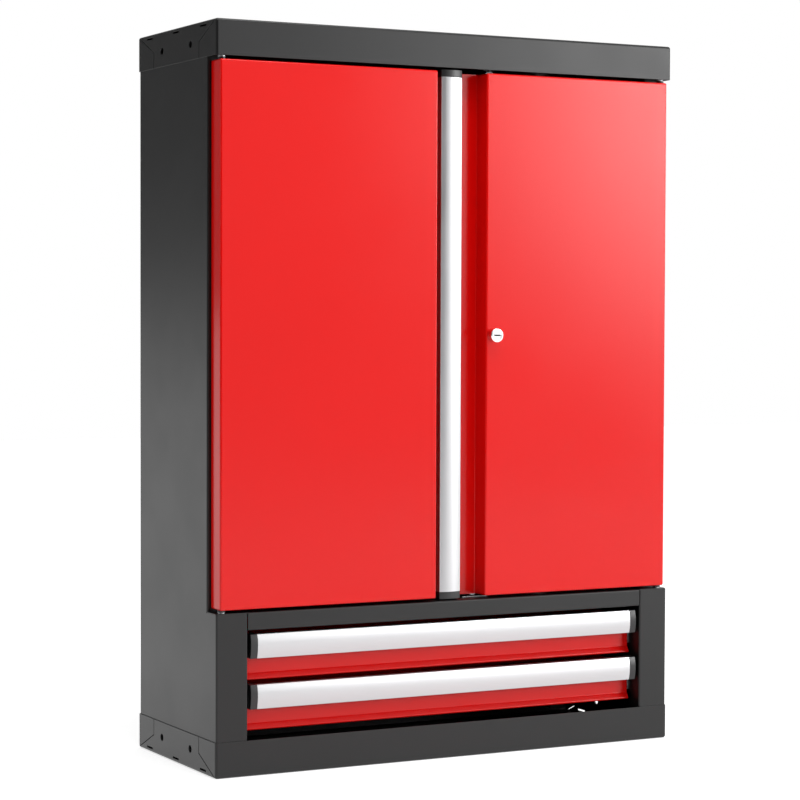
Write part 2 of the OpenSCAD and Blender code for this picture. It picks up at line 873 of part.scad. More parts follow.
module left_door_bushes() {
  door_bushes(-hinge_x);
}

module right_door_bushes() {
  door_bushes(hinge_x);
}

// Plate that closes the door behind the lock and carries the rod gear
module lock_plate() {
  x0 = right_edge - lock_plate_lap;
  z_in = door_lip + hat_end_gap;
  color(paint_red)
    difference() {
      union() {
        translate([x0, door_rear_y, door_z0 + 2 * door_t])
          cube([lock_plate_w, door_t, door_h - 4 * door_t]);
        translate([x0 + lock_plate_w - door_t, door_rear_y - door_lip, door_z0 + z_in])
          cube([door_t, door_lip + door_t, door_h - 2 * z_in]);
      }
      y_rod(lock_x, door_rear_y - over, lock_z, plug_r + rod_gap, door_t + 2 * over);
    }
}

// Grip section with its closed side at -X, its foot on Y = 0 and its crowned front at Y = grip_d
module grip_outline(inset) {
  intersection() {
    translate([0, grip_d / 2])
      rounded_rect(grip_w - 2 * inset, grip_d - 2 * inset, grip_corner_r - inset);
    translate([0, grip_d - crown_r])
      circle(r = crown_r - inset, $fn = 180);
  }
}

module grip_section() {
  difference() {
    grip_outline(0);
    grip_outline(grip_t);
    translate([grip_w / 2 - grip_t - over, -over])
      square([grip_t + 2 * over, grip_d - grip_edge + over]);
    translate([-grip_w / 2 + grip_foot, -over])
      square([grip_w, grip_t + 2 * over]);
  }
}

// How far the screws of the door grip and of a drawer grip are from its middle, towards its closed side
function door_screw_u() = grip_w / 2 - grip_foot / 2 - grip_corner_r;
function drawer_screw_u() = box_h - box_drop - box_screw_in;
// Where they are along it
function grip_screw_zs() = [for (i = [-1, 0, 1]) door_mid_z + i * (door_h / 2 - cap_l - grip_screw_in)];
function grip_screw_xs() = [for (i = [-1, 0, 1]) i * (front_w / 2 - cap_l - grip_screw_in)];

// Straight length of the grip along Z, centred, with screw holes at the given places, u from its middle
module grip_bar(l, places, u) {
  difference() {
    translate([0, 0, -l / 2])
      linear_extrude(height = l)
        grip_section();
    for (p = places)
      y_rod(-u, -over, p, screw_d / 2 + hole_fit, grip_t + 2 * over);
  }
}

// End cap that sits on the plane z = 0 with its plug below
module grip_cap() {
  linear_extrude(height = cap_l)
    grip_outline(0);
  translate([0, 0, -cap_plug])
    linear_extrude(height = cap_plug)
      intersection() {
        grip_outline(grip_t + cap_fit);
        translate([-grip_w / 2, 0])
          square([grip_foot + grip_t, grip_d]);
      }
}

module cap_pair(l) {
  for (s = [0, 1])
    mirror([0, 0, s])
      translate([0, 0, l / 2])
        grip_cap();
}

// Turns a piece made along Z with its front at +Y to stand in the door's recess
module on_door() {
  translate([0, recess_y, door_mid_z])
    rotate([180, 0, 0])
      children();
}

// The same for a drawer, with the closed side of the grip upwards
module on_drawer(i) {
  translate([0, front_face_y, drawer_z - i * drawer_pitch])
    rotate([0, 90, 180])
      children();
}

module door_grip() {
  color(alu)
    on_door()
      grip_bar(door_grip_bar_l, [for (z = grip_screw_zs()) door_mid_z - z], door_screw_u());
}

module door_grip_caps() {
  color(plastic)
    on_door()
      cap_pair(door_grip_bar_l);
}

// Screw from behind: its head against the plane y, its shank forward through the sheets and the foot
module grip_screw(x, y, z, sheets) {
  y_rod(x, y, z, screw_head_d / 2, screw_head_h);
  y_rod(x, y - sheets - grip_t, z, screw_d / 2, sheets + grip_t);
}

module door_grip_screws() {
  color(steel)
    for (z = grip_screw_zs())
      grip_screw(-door_screw_u(), door_rear_y, z, door_t);
}

// Turned head and body, drawn as half a section and spun round the lock's axis
module lock_barrel() {
  head_r = lock_d / 2;
  body_l = door_d;
  color(steel)
    translate([lock_x, front_y + body_l, lock_z])
      rotate([90, 0, 0])
        rotate_extrude()
          polygon([
            [plug_r + plug_fit, 0],
            [lock_body_d / 2, 0],
            [lock_body_d / 2, body_l],
            [head_r, body_l],
            [head_r, body_l + lock_out - lock_bevel],
            [head_r - lock_bevel, body_l + lock_out],
            [plug_r + plug_fit, body_l + lock_out]
          ]);
}

// Ring nut, bevelled towards the panel so that it clears the bend at the door's edge
module lock_nut() {
  bore = lock_body_d / 2 + hole_fit;
  color(steel)
    difference() {
      translate([lock_x, front_y + door_t + nut_h, lock_z])
        rotate([90, 0, 0])
          rotate_extrude()
            polygon([
              [bore, 0],
              [nut_r, 0],
              [nut_r, nut_h - nut_r + nut_front_r],
              [nut_front_r, nut_h],
              [bore, nut_h]
            ]);
      for (a = [0, 90])
        translate([lock_x, front_y + door_t + nut_h, lock_z])
          rotate([0, a + 45, 0])
            cube([4 * nut_r, nut_h, key_h], center = true);
    }
}

module lock_plug() {
  face_y = front_y - lock_out + lock_bevel / 2;
  color(steel)
    difference() {
      union() {
        y_rod(lock_x, face_y, lock_z, plug_r, cam_y - face_y);
        translate([lock_x, cam_y + cam_t / 2, lock_z])
          rotate([0, 45, 0])
            cube([square_w, cam_t, square_w], center = true);
      }
      translate([lock_x, face_y, lock_z])
        cube([key_l, 2 * key_deep, key_h], center = true);
      y_rod(lock_x, cam_y - key_deep, lock_z, screw_d / 2 - hole_fit, key_deep + cam_t + over);
    }
}

// Flat two-armed cam with a pin at each end, turned to where the rods are drawn back
module lock_cam() {
  color(steel)
    translate([lock_x, cam_y, lock_z])
      rotate([0, lock_turn / 2, 0]) {
        difference() {
          union() {
            translate([-cam_r, 0, -cam_w / 2])
              cube([2 * cam_r, cam_t, cam_w]);
            for (s = [-1, 1])
              y_rod(s * cam_r, 0, 0, cam_w / 2, cam_t);
          }
          rotate([0, 45 - lock_turn / 2, 0])
            cube([square_w + hole_fit, 4 * cam_t, square_w + hole_fit], center = true);
        }
        for (s = [-1, 1])
          y_rod(s * cam_r, cam_t, 0, cam_pin_d / 2, rod_gap + rod_t + rod_gap);
      }
}

module cam_screw() {
  color(steel) {
    y_rod(lock_x, cam_y + cam_t, lock_z, screw_d, screw_head_h);
    y_rod(lock_x, cam_y - key_deep / 2, lock_z, screw_d / 2 - hole_fit, key_deep / 2 + cam_t);
  }
}

// Flat rod from its slotted end at z = 0 up to a tapered tip, in the plane of the rods
module rod(l) {
  slot_l = cam_r - cam_reach + cam_pin_d + 2 * rod_play;
  slot_h = cam_pin_d + 2 * rod_play;
  margin = slot_h / 2 + rod_w / 4;
  rotate([90, 0, 0])
    translate([0, 0, -rod_t])
      linear_extrude(height = rod_t)
        difference() {
          polygon([
            [-rod_w / 2, -margin],
            [rod_w / 2, -margin],
            [rod_w / 2, l - rod_taper],
            [rod_w / 2 - rod_taper, l],
            [-rod_w / 2 + rod_taper, l],
            [-rod_w / 2, l - rod_taper]
          ]);
          square([slot_l, slot_h], center = true);
        }
}

module upper_rod() {
  z = lock_z - cam_lift;
  color(steel)
    translate([upper_rod_x, rod_y, z])
      rod(door_z1 + rod_high - z);
}

module lower_rod() {
  z = lock_z + cam_lift;
  color(steel)
    translate([lower_rod_x, rod_y, z])
      mirror([0, 0, 1])
        rod(z - door_z0 + rod_low);
}

// Guide with a square tunnel round the rod
module rod_guide(x, z) {
  depth = guide_rear_y - lock_plate_y;
  translate([x, 0, z])
    difference() {
      translate([-guide_w / 2, lock_plate_y, -guide_h / 2])
        cube([guide_w, depth, guide_h]);
      translate([-rod_w / 2 - rod_gap, rod_y - rod_gap, -guide_h])
        cube([rod_w + 2 * rod_gap, rod_t + 2 * rod_gap, 2 * guide_h]);
    }
}

module rod_guides() {
  color(plastic) {
    rod_guide(lower_rod_x, door_z0 + guide_in);
    rod_guide(lower_rod_x, lock_z - guide_mid);
    rod_guide(upper_rod_x, lock_z + guide_mid);
    rod_guide(upper_rod_x, door_z1 - guide_in);
  }
}

// Height of the bottom of a drawer's box and of its grip screws
function box_z(i) = drawer_z - i * drawer_pitch - box_drop;
function screw_z(i) = drawer_z - i * drawer_pitch + drawer_screw_u();

module drawer_box(i) {
  color(paint_red)
    difference() {
      translate([0, box_y + box_d / 2, box_z(i) + box_h])
        mirror([0, 0, 1])
          difference() {
            mitred_block(2 * runner_x, box_d, box_h, box_bend_r);
            translate([0, 0, -over])
              mitred_block(2 * (runner_x - drawer_t), box_d - 2 * drawer_t, box_h - drawer_t + over,
                box_bend_r - drawer_t);
          }
      for (x = grip_screw_xs())
        y_rod(x, box_y - over, screw_z(i), screw_d / 2 + hole_fit, drawer_t + 2 * over);
    }
}

// Angle of the turn at corner i of a path, positive to the left
function turn_at(path, i) =
  let (u = path[i] - path[i - 1], v = path[i + 1] - path[i])
    atan2(cross(u, v), u * v);

// Length that the bend at corner i takes from each of its two legs, and none at the ends of the path
function bend_cut(path, i, t, r) =
  i == 0 || i == len(path) - 1 ? 0 :
  (turn_at(path, i) > 0 ? r + t : r) * tan(abs(turn_at(path, i)) / 2);

// Bend by the angle a round the origin, from a leg along X, turning right
module bend_section(a, t, r) {
  out = 2 * (r + t);
  intersection() {
    difference() {
      circle(r = r + t);
      circle(r = r);
    }
    polygon([[0, 0], [0, out], [out * sin(a / 2), out * cos(a / 2)], [out * sin(a), out * cos(a)]]);
  }
}

// Section of a folded sheet whose right side follows the path from corner to corner
module fold_section(path, t, r) {
  for (i = [1 : len(path) - 1]) {
    leg = path[i] - path[i - 1];
    before = bend_cut(path, i - 1, t, r);
    after = bend_cut(path, i, t, r);
    translate(path[i - 1])
      rotate([0, 0, atan2(leg[1], leg[0])]) {
        translate([before, 0])
          square([norm(leg) - before - after, t]);
        if (i < len(path) - 1) {
          left = turn_at(path, i) > 0;
          translate([norm(leg) - after, left ? r + t : -r])
            mirror([0, left ? 1 : 0])
              bend_section(abs(turn_at(path, i)), t, r);
        }
      }
  }
}

// Red front folded from one sheet: top return, flat band, flared lip and the return under it
module front_profile() {
  lip_z = -front_flat - flare_h;
  fold_section([
    [front_top_return, front_top],
    [0, front_top],
    [0, -front_flat],
    [-flare_d, lip_z],
    [flare_return - flare_d, lip_z]
  ], drawer_t, front_bend_r);
}

module drawer_front(i) {
  z = drawer_z - i * drawer_pitch;
  color(paint_red)
    difference() {
      union() {
        translate([-front_w / 2, front_face_y, z])
          rotate([90, 0, 90])
            linear_extrude(height = front_w)
              front_profile();
        for (x = [-front_w / 2, front_w / 2 - drawer_t])
          translate([x, front_face_y, z - front_flat])
            cube([drawer_t, drawer_t + front_end_return, front_flat + front_top - front_bend_r - drawer_t]);
      }
      for (x = grip_screw_xs())
        y_rod(x, front_face_y - over, screw_z(i), screw_d / 2 + hole_fit, drawer_t + 2 * over);
    }
}

module drawer_grip(i) {
  color(alu)
    on_drawer(i)
      grip_bar(drawer_grip_bar_l, grip_screw_xs(), drawer_screw_u());
}

module drawer_caps(i) {
  color(plastic)
    on_drawer(i)
      cap_pair(drawer_grip_bar_l);
}

module drawer_screws(i) {
  color(steel)
    for (x = grip_screw_xs())
      grip_screw(x, front_face_y + 2 * drawer_t, screw_z(i), 2 * drawer_t);
}

// Channel of a slide: web from u0, flanges to u1, seen in section with u away from the bracket
module slide_section(web_u, edge_u, h) {
  u0 = min(web_u, edge_u);
  u1 = max(web_u, edge_u) + (web_u > edge_u ? slide_t : 0);
  for (v = [-h / 2, h / 2 - slide_t])
    translate([u0, v])
      square([u1 - u0, slide_t]);
  translate([web_u, -h / 2])
    square([slide_t, h]);
}

// Slide member along Y, on the left side for side 0 and on the right for side 1
module slide_member(i, side) {
  mirror([side, 0, 0])
    translate([-bracket_x, slide_y + slide_l, slide_z - i * drawer_pitch])
      rotate([90, 0, 0])
        linear_extrude(height = slide_l)
          children();
}

module fixed_rail(i, side) {
  color(steel)
    difference() {
      slide_member(i, side)
        slide_section(0, runner_u - slide_gap, slide_h);
      for (y = slide_rivet_ys())
        slide_rivet_hole(side, y, i);
    }
}

module middle_rail(i, side) {
  color(steel)
    slide_member(i, side)
      slide_section(middle_u, runner_u - slide_gap, middle_h);
}

module runner(i, side) {
  color(steel)
    slide_member(i, side)
      slide_section(runner_u, middle_u + slide_t + slide_gap, runner_h);
}

function slide_rivet_ys() = [slide_y + slide_rivet_in, slide_y + slide_l - slide_rivet_in];

module slide_rivet_hole(side, y, i) {
  mirror([side, 0, 0])
    translate([-bracket_x - bracket_t - over, y, slide_z - i * drawer_pitch])
      rotate([0, 90, 0])
        cylinder(r = rivet_d / 2 + hole_fit, h = bracket_t + slide_t + 2 * over);
}

module slide_rivets() {
  color(steel)
    for (side = [0, 1], y = slide_rivet_ys(), i = [0, 1])
      mirror([side, 0, 0])
        translate([-bracket_x - bracket_t, y, slide_z - i * drawer_pitch])
          rotate([0, 90, 0]) {
            cylinder(r = rivet_d / 2, h = bracket_t + slide_t);
            translate([0, 0, -rivet_head_h])
              cylinder(r = rivet_head_d / 2, h = rivet_head_h);
          }
}

// Channel that spans the lips of a side panel on their hidden side and carries both slides of that side
module runner_bracket(side) {
  z0 = slide_z - drawer_pitch - slide_h / 2 - bracket_over;
  z1 = slide_z + slide_h / 2 + bracket_over;
  y0 = panel_front_y + panel_bend_r + sheet_t;
  y1 = panel_back_y - panel_bend_r - sheet_t;
  color(paint_dark)
    difference() {
      mirror([side, 0, 0])
        translate([-bracket_x - bracket_t, y0, z0]) {
          cube([bracket_t, y1 - y0, z1 - z0]);
          for (z = [0, z1 - z0 - bracket_t])
            translate([-bracket_flange, 0, z])
              cube([bracket_flange + bracket_t, y1 - y0, bracket_t]);
        }
      for (y = slide_rivet_ys(), i = [0, 1])
        slide_rivet_hole(side, y, i);
    }
}

module left_runner_bracket() {
  runner_bracket(0);
}

module right_runner_bracket() {
  runner_bracket(1);
}

top_cover();
bottom_tray();
left_side_panel();
right_side_panel();
back_panel();
door_header();
compartment_floor();
upper_shelf();
lower_shelf();
shelf_clips();
left_runner_bracket();
right_runner_bracket();
hinge_pins();
rod_strikes();
back_rivets();
slide_rivets();
left_door_panel();
left_door_stiffener();
left_door_bushes();
right_door_panel();
right_door_stiffener();
right_door_bushes();
lock_plate();
door_grip();
door_grip_caps();
door_grip_screws();
lock_barrel();
lock_nut();
rod_guides();
lock_plug();
lock_cam();
cam_screw();
upper_rod();
lower_rod();
drawer_box(0);  // upper_drawer_box
drawer_front(0);  // upper_drawer_front
drawer_grip(0);  // upper_drawer_grip
drawer_caps(0);  // upper_grip_caps
drawer_screws(0);  // upper_grip_screws
runner(0, 0);  // upper_left_runner
runner(0, 1);  // upper_right_runner
middle_rail(0, 0);  // upper_left_middle_rail
middle_rail(0, 1);  // upper_right_middle_rail
fixed_rail(0, 0);  // upper_left_fixed_rail
fixed_rail(0, 1);  // upper_right_fixed_rail
drawer_box(1);  // lower_drawer_box
drawer_front(1);  // lower_drawer_front
drawer_grip(1);  // lower_drawer_grip
drawer_caps(1);  // lower_grip_caps
drawer_screws(1);  // lower_grip_screws
runner(1, 0);  // lower_left_runner
runner(1, 1);  // lower_right_runner
middle_rail(1, 0);  // lower_left_middle_rail
middle_rail(1, 1);  // lower_right_middle_rail
fixed_rail(1, 0);  // lower_left_fixed_rail
fixed_rail(1, 1);  // lower_right_fixed_rail
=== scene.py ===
# %% [markdown]
# # A folded steel tool cabinet
#
# The cabinet is sheet metal: a dark carcase made from folded plates, two red doors and two red
# drawers with aluminium grips. Its shapes already exist as exact solids, so this lesson is about
# what makes such solids look like real sheet metal: edges that catch light, coatings with a skin
# of their own, and small repeated hardware.
#
# The cabinet's lengths are written in millimetres. The places of the camera, the lamps and the
# backdrops are in metres, as Blender counts.

# %% The frame
import json
import math
import bmesh
import bpy
from mathutils import Matrix, Vector

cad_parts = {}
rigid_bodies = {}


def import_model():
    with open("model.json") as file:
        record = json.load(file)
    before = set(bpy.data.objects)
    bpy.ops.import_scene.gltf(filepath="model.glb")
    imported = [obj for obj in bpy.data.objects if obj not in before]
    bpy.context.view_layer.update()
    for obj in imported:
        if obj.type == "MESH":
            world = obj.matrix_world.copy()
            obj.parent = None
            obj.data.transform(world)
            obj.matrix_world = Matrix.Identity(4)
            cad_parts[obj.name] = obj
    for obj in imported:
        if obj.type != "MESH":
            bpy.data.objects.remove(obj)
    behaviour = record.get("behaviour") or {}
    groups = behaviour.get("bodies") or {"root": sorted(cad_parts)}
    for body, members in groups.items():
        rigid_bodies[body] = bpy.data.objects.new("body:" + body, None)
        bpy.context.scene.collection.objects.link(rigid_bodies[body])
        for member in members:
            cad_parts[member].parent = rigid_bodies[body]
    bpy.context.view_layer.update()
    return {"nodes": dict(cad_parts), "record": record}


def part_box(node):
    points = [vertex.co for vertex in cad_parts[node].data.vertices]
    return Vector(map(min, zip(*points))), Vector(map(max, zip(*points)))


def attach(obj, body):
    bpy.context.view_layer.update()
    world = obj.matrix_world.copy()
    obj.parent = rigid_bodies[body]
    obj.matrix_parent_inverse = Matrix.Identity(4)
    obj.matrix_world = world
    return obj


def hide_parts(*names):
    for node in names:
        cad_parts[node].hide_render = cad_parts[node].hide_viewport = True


for leftover in list(bpy.data.objects):
    bpy.data.objects.remove(leftover, do_unlink=True)

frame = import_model()
MM = 0.001
bodies = frame["record"]["behaviour"]["bodies"]
body_of = {node: body for body, nodes in bodies.items() for node in nodes}
slot_of = {part["node"]: part["material_slot"] for part in frame["record"]["subparts"]}

# %% [markdown]
# ## The camera
#
# The photograph's perspective was worked out from the corners of the cabinet. A camera's matrix
# is three directions (right, up, backwards) and a place, so the angles are turned into those
# directions here. Writing them out keeps the small roll of the picture, which a "look at" helper
# would lose.

# %% Camera
FOCAL_PX, FRAME_PX, SENSOR_MM = 2433.5, 800, 36
CAMERA_AT = Vector((-1.628, -3.069, 0.616))
YAW, PITCH, ROLL = (math.radians(angle) for angle in (27.78, -2.054, 0.193))

ahead = Vector((math.sin(YAW) * math.cos(PITCH), math.cos(YAW) * math.cos(PITCH), math.sin(PITCH)))
level_right = Vector((math.cos(YAW), -math.sin(YAW), 0))
level_up = level_right.cross(ahead)
right = math.cos(ROLL) * level_right + math.sin(ROLL) * level_up
up = -math.sin(ROLL) * level_right + math.cos(ROLL) * level_up
turned_to_view = Matrix((right, up, -ahead)).transposed().to_4x4()

camera_data = bpy.data.cameras.new("camera")
camera_data.sensor_width = SENSOR_MM
camera_data.lens = FOCAL_PX * SENSOR_MM / FRAME_PX
camera = bpy.data.objects.new("camera", camera_data)
camera.matrix_world = Matrix.Translation(CAMERA_AT) @ turned_to_view
bpy.context.scene.collection.objects.link(camera)
bpy.context.scene.camera = camera
print("lens", round(camera_data.lens, 2), "mm")

# %% [markdown]
# ## Effects that several finishes share
#
# Paint, metal and plastic all need the same few effects: a mask for worn edges, a slow change of
# gloss, a skin of tiny bumps, and lines drawn out along one direction. Each is a node group with
# named inputs, made once. A group only computes values that change over the surface; the shader
# itself stays in each material.

# %% Helpers that start a group and add its nodes
FLOAT, VECTOR = "NodeSocketFloat", "NodeSocketVector"


def start_group(name, inputs, output):
    group = bpy.data.node_groups.new(name, "ShaderNodeTree")
    for label, kind, default in inputs:
        socket = group.interface.new_socket(label, in_out="INPUT", socket_type=kind)
        if default is not None:
            socket.default_value = default
    group.interface.new_socket(output, in_out="OUTPUT", socket_type=FLOAT)
    return group, group.nodes.new("NodeGroupInput").outputs, group.nodes.new("NodeGroupOutput").inputs


def add_noise(group, vector, scale, detail):
    noise = group.nodes.new("ShaderNodeTexNoise")
    noise.inputs["Detail"].default_value = detail
    group.links.new(vector, noise.inputs["Vector"])
    group.links.new(scale, noise.inputs["Scale"])
    return noise.outputs["Fac"]


def add_range(group, value, low, high, to_low, to_high):
    node = group.nodes.new("ShaderNodeMapRange")
    labels = ("Value", "From Min", "From Max", "To Min", "To Max")
    for label, item in zip(labels, (value, low, high, to_low, to_high)):
        if isinstance(item, (int, float)):
            node.inputs[label].default_value = item
        else:
            group.links.new(item, node.inputs[label])
    return node.outputs["Result"]


# %% [markdown]
# Noise gathers round one half. Two ranges say which part of it counts: the narrower one cuts
# patches with a soft rim, and the wider one drifts from cloud to cloud.

# %% Worn edges and slow gloss
PATCH_RANGE, CLOUD_RANGE = (0.45, 0.65), (0.35, 0.65)

wear, given, result = start_group("edge_wear", [
    ("Coordinates", VECTOR, None), ("Edge", FLOAT, 0.0), ("Scale", FLOAT, 60.0), ("Amount", FLOAT, 0.5),
], "Mask")
patches = add_noise(wear, given["Coordinates"], given["Scale"], 4.0)
patches = add_range(wear, patches, *PATCH_RANGE, 0.0, given["Amount"])
on_edges = wear.nodes.new("ShaderNodeMath")
on_edges.operation = "MULTIPLY"
wear.links.new(patches, on_edges.inputs[0])
wear.links.new(given["Edge"], on_edges.inputs[1])
wear.links.new(on_edges.outputs["Value"], result["Mask"])

mottle, given, result = start_group("slow_mottle", [
    ("Coordinates", VECTOR, None), ("Scale", FLOAT, 9.0), ("Low", FLOAT, 0.3), ("High", FLOAT, 0.4),
], "Value")
clouds = add_noise(mottle, given["Coordinates"], given["Scale"], 3.0)
clouds = add_range(mottle, clouds, *CLOUD_RANGE, given["Low"], given["High"])
mottle.links.new(clouds, result["Value"])

# %% A skin of bumps and drawn lines
skin, given, result = start_group("fine_skin", [
    ("Coordinates", VECTOR, None), ("Scale", FLOAT, 500.0),
], "Height")
bumps = add_noise(skin, given["Coordinates"], given["Scale"], 2.0)
skin.links.new(bumps, result["Height"])

drawn, given, result = start_group("drawn_lines", [
    ("Coordinates", VECTOR, None), ("Stretch", VECTOR, (1.0, 1.0, 1.0)), ("Scale", FLOAT, 900.0),
], "Lines")
squeeze = drawn.nodes.new("ShaderNodeVectorMath")
squeeze.operation = "MULTIPLY"
drawn.links.new(given["Coordinates"], squeeze.inputs[0])
drawn.links.new(given["Stretch"], squeeze.inputs[1])
lines = add_noise(drawn, squeeze.outputs["Vector"], given["Scale"], 2.0)
drawn.links.new(lines, result["Lines"])
print("shared effects", [group.name for group in bpy.data.node_groups])

# %% [markdown]
# ## The finishes
#
# Powder coat is a baked film: an even colour, a faint orange-peel skin and a gloss that drifts a
# little over a large plate. On a bend or a cut edge the film is thinner and rubs lighter. Bare
# metal parts have no film, so their character is in the roughness: lines drawn along an
# extrusion, or the cloudy skin of zinc plating.
#
# Two attributes of the mesh steer the colour. "edge" marks the narrow faces of softened edges, and the
# other marks faces that get a painted shade, near black, because no light or polish reaches them, such
# as the inside of a key slot.

# %% One function that builds a finish from the shared effects
WEAR_SCALE, TONE_SCALE, GLOSS_SCALE, GRAIN_SCALE = 60.0, 4.0, 11.0, 900.0
TONE_LOW = 0.985
GRAIN_ROUGHNESS = 0.16
BUMP_STRENGTH = 0.35
# Painted shade: the near-black colour put on faces that no light reaches.
PAINTED_SHADE_COLOR = (0.01, 0.01, 0.01)


def make_finish(name, color, worn, roughness, skin_depth, skin_scale=None, stretch=None,
                metallic=0.0, specular=0.5, wear_amount=0.4):
    material = bpy.data.materials.new(name)
    material.use_nodes = True
    tree = material.node_tree
    link = tree.links.new
    shader = tree.nodes["Principled BSDF"].inputs
    shader["Metallic"].default_value = metallic
    shader["Specular IOR Level"].default_value = specular
    place = tree.nodes.new("ShaderNodeTexCoord").outputs["Object"]

    def use(group, **values):
        node = tree.nodes.new("ShaderNodeGroup")
        node.node_tree = group
        link(place, node.inputs["Coordinates"])
        for label, value in values.items():
            node.inputs[label].default_value = value
        return node

    def read(attribute):
        node = tree.nodes.new("ShaderNodeAttribute")
        node.attribute_name = attribute
        return node.outputs["Fac"]

    def blend(factor, first, second):
        node = tree.nodes.new("ShaderNodeMix")
        node.data_type = "RGBA"
        node.inputs["B"].default_value = (*second, 1.0)
        link(factor, node.inputs["Factor"])
        link(first, node.inputs["A"])
        return node.outputs["Result"]

    worn_mask = use(wear, Scale=WEAR_SCALE, Amount=wear_amount)
    link(read("edge"), worn_mask.inputs["Edge"])
    tone = use(mottle, Scale=TONE_SCALE, Low=TONE_LOW, High=1.0)
    shaded = tree.nodes.new("ShaderNodeVectorMath")
    shaded.operation = "SCALE"
    shaded.inputs[0].default_value = color
    link(tone.outputs["Value"], shaded.inputs["Scale"])
    rubbed = blend(worn_mask.outputs["Mask"], shaded.outputs["Vector"], worn)
    # Where the painted shade is marked, it replaces the colour.
    link(blend(read("painted_shade"), rubbed, PAINTED_SHADE_COLOR), shader["Base Color"])

    rough = use(mottle, Scale=GLOSS_SCALE, Low=roughness[0], High=roughness[1]).outputs["Value"]
    if stretch is None:
        height = use(skin, Scale=skin_scale).outputs["Height"]
    else:
        height = use(drawn, Stretch=stretch, Scale=GRAIN_SCALE).outputs["Lines"]
        vary = tree.nodes.new("ShaderNodeMath")
        vary.operation = "MULTIPLY_ADD"
        vary.inputs[1].default_value = GRAIN_ROUGHNESS
        link(height, vary.inputs[0])
        link(rough, vary.inputs[2])
        rough = vary.outputs["Value"]
    link(rough, shader["Roughness"])
    bump = tree.nodes.new("ShaderNodeBump")
    bump.inputs["Strength"].default_value = BUMP_STRENGTH
    bump.inputs["Distance"].default_value = skin_depth * MM
    link(height, bump.inputs["Height"])
    link(bump.outputs["Normal"], shader["Normal"])
    return material


# %% [markdown]
# Each finish names its colour, the colour its edges wear to, the range of its roughness, and the
# depth of its skin in millimetres, with either the scale of its bumps or the stretch of its lines.
# Metals with the same surface share their values and differ in their lines.
#
# The dark paint is written nearly black, because the pale reflection in its gloss is what makes it
# a dark grey. The anodised grips are a little darker than bare aluminium, so that they stay below
# white under the big lamp.

# %% The finishes of this cabinet
ALONG_X, ALONG_Y, ALONG_Z = (0.01, 1, 1), (1, 0.01, 1), (1, 1, 0.01)
ANODISED = {"color": (0.50, 0.50, 0.51), "worn": (0.75, 0.75, 0.76), "roughness": (0.26, 0.30),
            "skin_depth": 0.02, "metallic": 1.0}
ZINC = {"color": (0.60, 0.61, 0.63), "worn": (0.75, 0.76, 0.77), "metallic": 1.0}

finishes = {
    "dark_paint": make_finish(
        "dark powder coat", (0.006, 0.0061, 0.0063), (0.03, 0.03, 0.031), (0.32, 0.36),
        skin_depth=0.03, skin_scale=420, specular=0.4, wear_amount=0.15),
    "red_paint": make_finish(
        "red powder coat", (0.80, 0.003, 0.002), (0.85, 0.04, 0.03), (0.15, 0.18),
        skin_depth=0.012, skin_scale=380, specular=0.3, wear_amount=0.15),
    "grip_aluminium": make_finish("anodised grip", stretch=ALONG_Z, **ANODISED),
    "plated_steel": make_finish(
        "zinc plating", roughness=(0.24, 0.38), skin_depth=0.03, skin_scale=260, **ZINC),
    "lock_chrome": make_finish(
        "polished plating", (0.82, 0.82, 0.83), (0.9, 0.9, 0.9), (0.08, 0.13),
        skin_depth=0.005, skin_scale=700, metallic=1.0),
    "black_plastic": make_finish(
        "black moulding", (0.013, 0.013, 0.014), (0.04, 0.04, 0.04), (0.3, 0.36),
        skin_depth=0.03, skin_scale=900),
    "grip_across": make_finish("anodised grip across", stretch=ALONG_X, **ANODISED),
    "rolled_steel": make_finish(
        "zinc plating drawn", roughness=(0.24, 0.34), skin_depth=0.02, stretch=ALONG_Y, **ZINC),
}
print("finishes", sorted(finishes))

# %% [markdown]
# ## Edges that catch light
#
# A solid from a CAD program has perfectly sharp edges, and nothing real has. A copy of each solid
# is merged, its flat faces are joined, and its sharp edges get a tiny round. The new narrow faces
# are marked in the attribute "edge". Weighted normals keep the big plates flat in shading.

# %% Softening a solid
SAME_PLACE = 1e-6
FLAT_WITHIN, SHARP_FROM = math.radians(0.4), math.radians(32)


def soften(mesh, width, sharp=SHARP_FROM):
    bm = bmesh.new()
    bm.from_mesh(mesh)
    bmesh.ops.remove_doubles(bm, verts=bm.verts, dist=SAME_PLACE)
    bmesh.ops.dissolve_limit(bm, angle_limit=FLAT_WITHIN, verts=bm.verts, edges=bm.edges)
    corners = [e for e in bm.edges if len(e.link_faces) == 2 and e.calc_face_angle(0) > sharp]
    mark = bm.faces.layers.float.new("edge")
    made = bmesh.ops.bevel(bm, geom=corners, offset=width, segments=2, profile=0.5,
                           affect="EDGES", clamp_overlap=False)
    for face in made["faces"]:
        face[mark] = 1.0
    for face in bm.faces:
        face.smooth = True
    out = bpy.data.meshes.new(mesh.name + "_soft")
    bm.to_mesh(out)
    bm.free()
    return out


def place_piece(name, mesh, body, slot, finish, *nodes):
    piece = bpy.data.objects.new(name, mesh)
    bpy.context.scene.collection.objects.link(piece)
    mesh.materials.clear()
    mesh.materials.append(finishes[finish])
    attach(piece, body)
    if nodes:
        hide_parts(*nodes)
    return piece


def dress_node(node, mesh, finish=None):
    """Puts a piece in the place of one CAD node, on its body, with the finish that its material slot
    names unless another is given.
    """
    slot = slot_of[node]
    return place_piece(node + "_finished", mesh, body_of[node], slot, finish or slot, node)


def weigh_normals(piece):
    modifier = piece.modifiers.new("weighted", "WEIGHTED_NORMAL")
    modifier.weight = 100
    modifier.keep_sharp = True


# %% [markdown]
# A cut edge of sheet metal needs only a very narrow round. The cover and the tray, the turned
# lock and the moulded end caps of the grips have widths of their own. The grips and the small
# hardware are left out here, because they are made afresh further down.

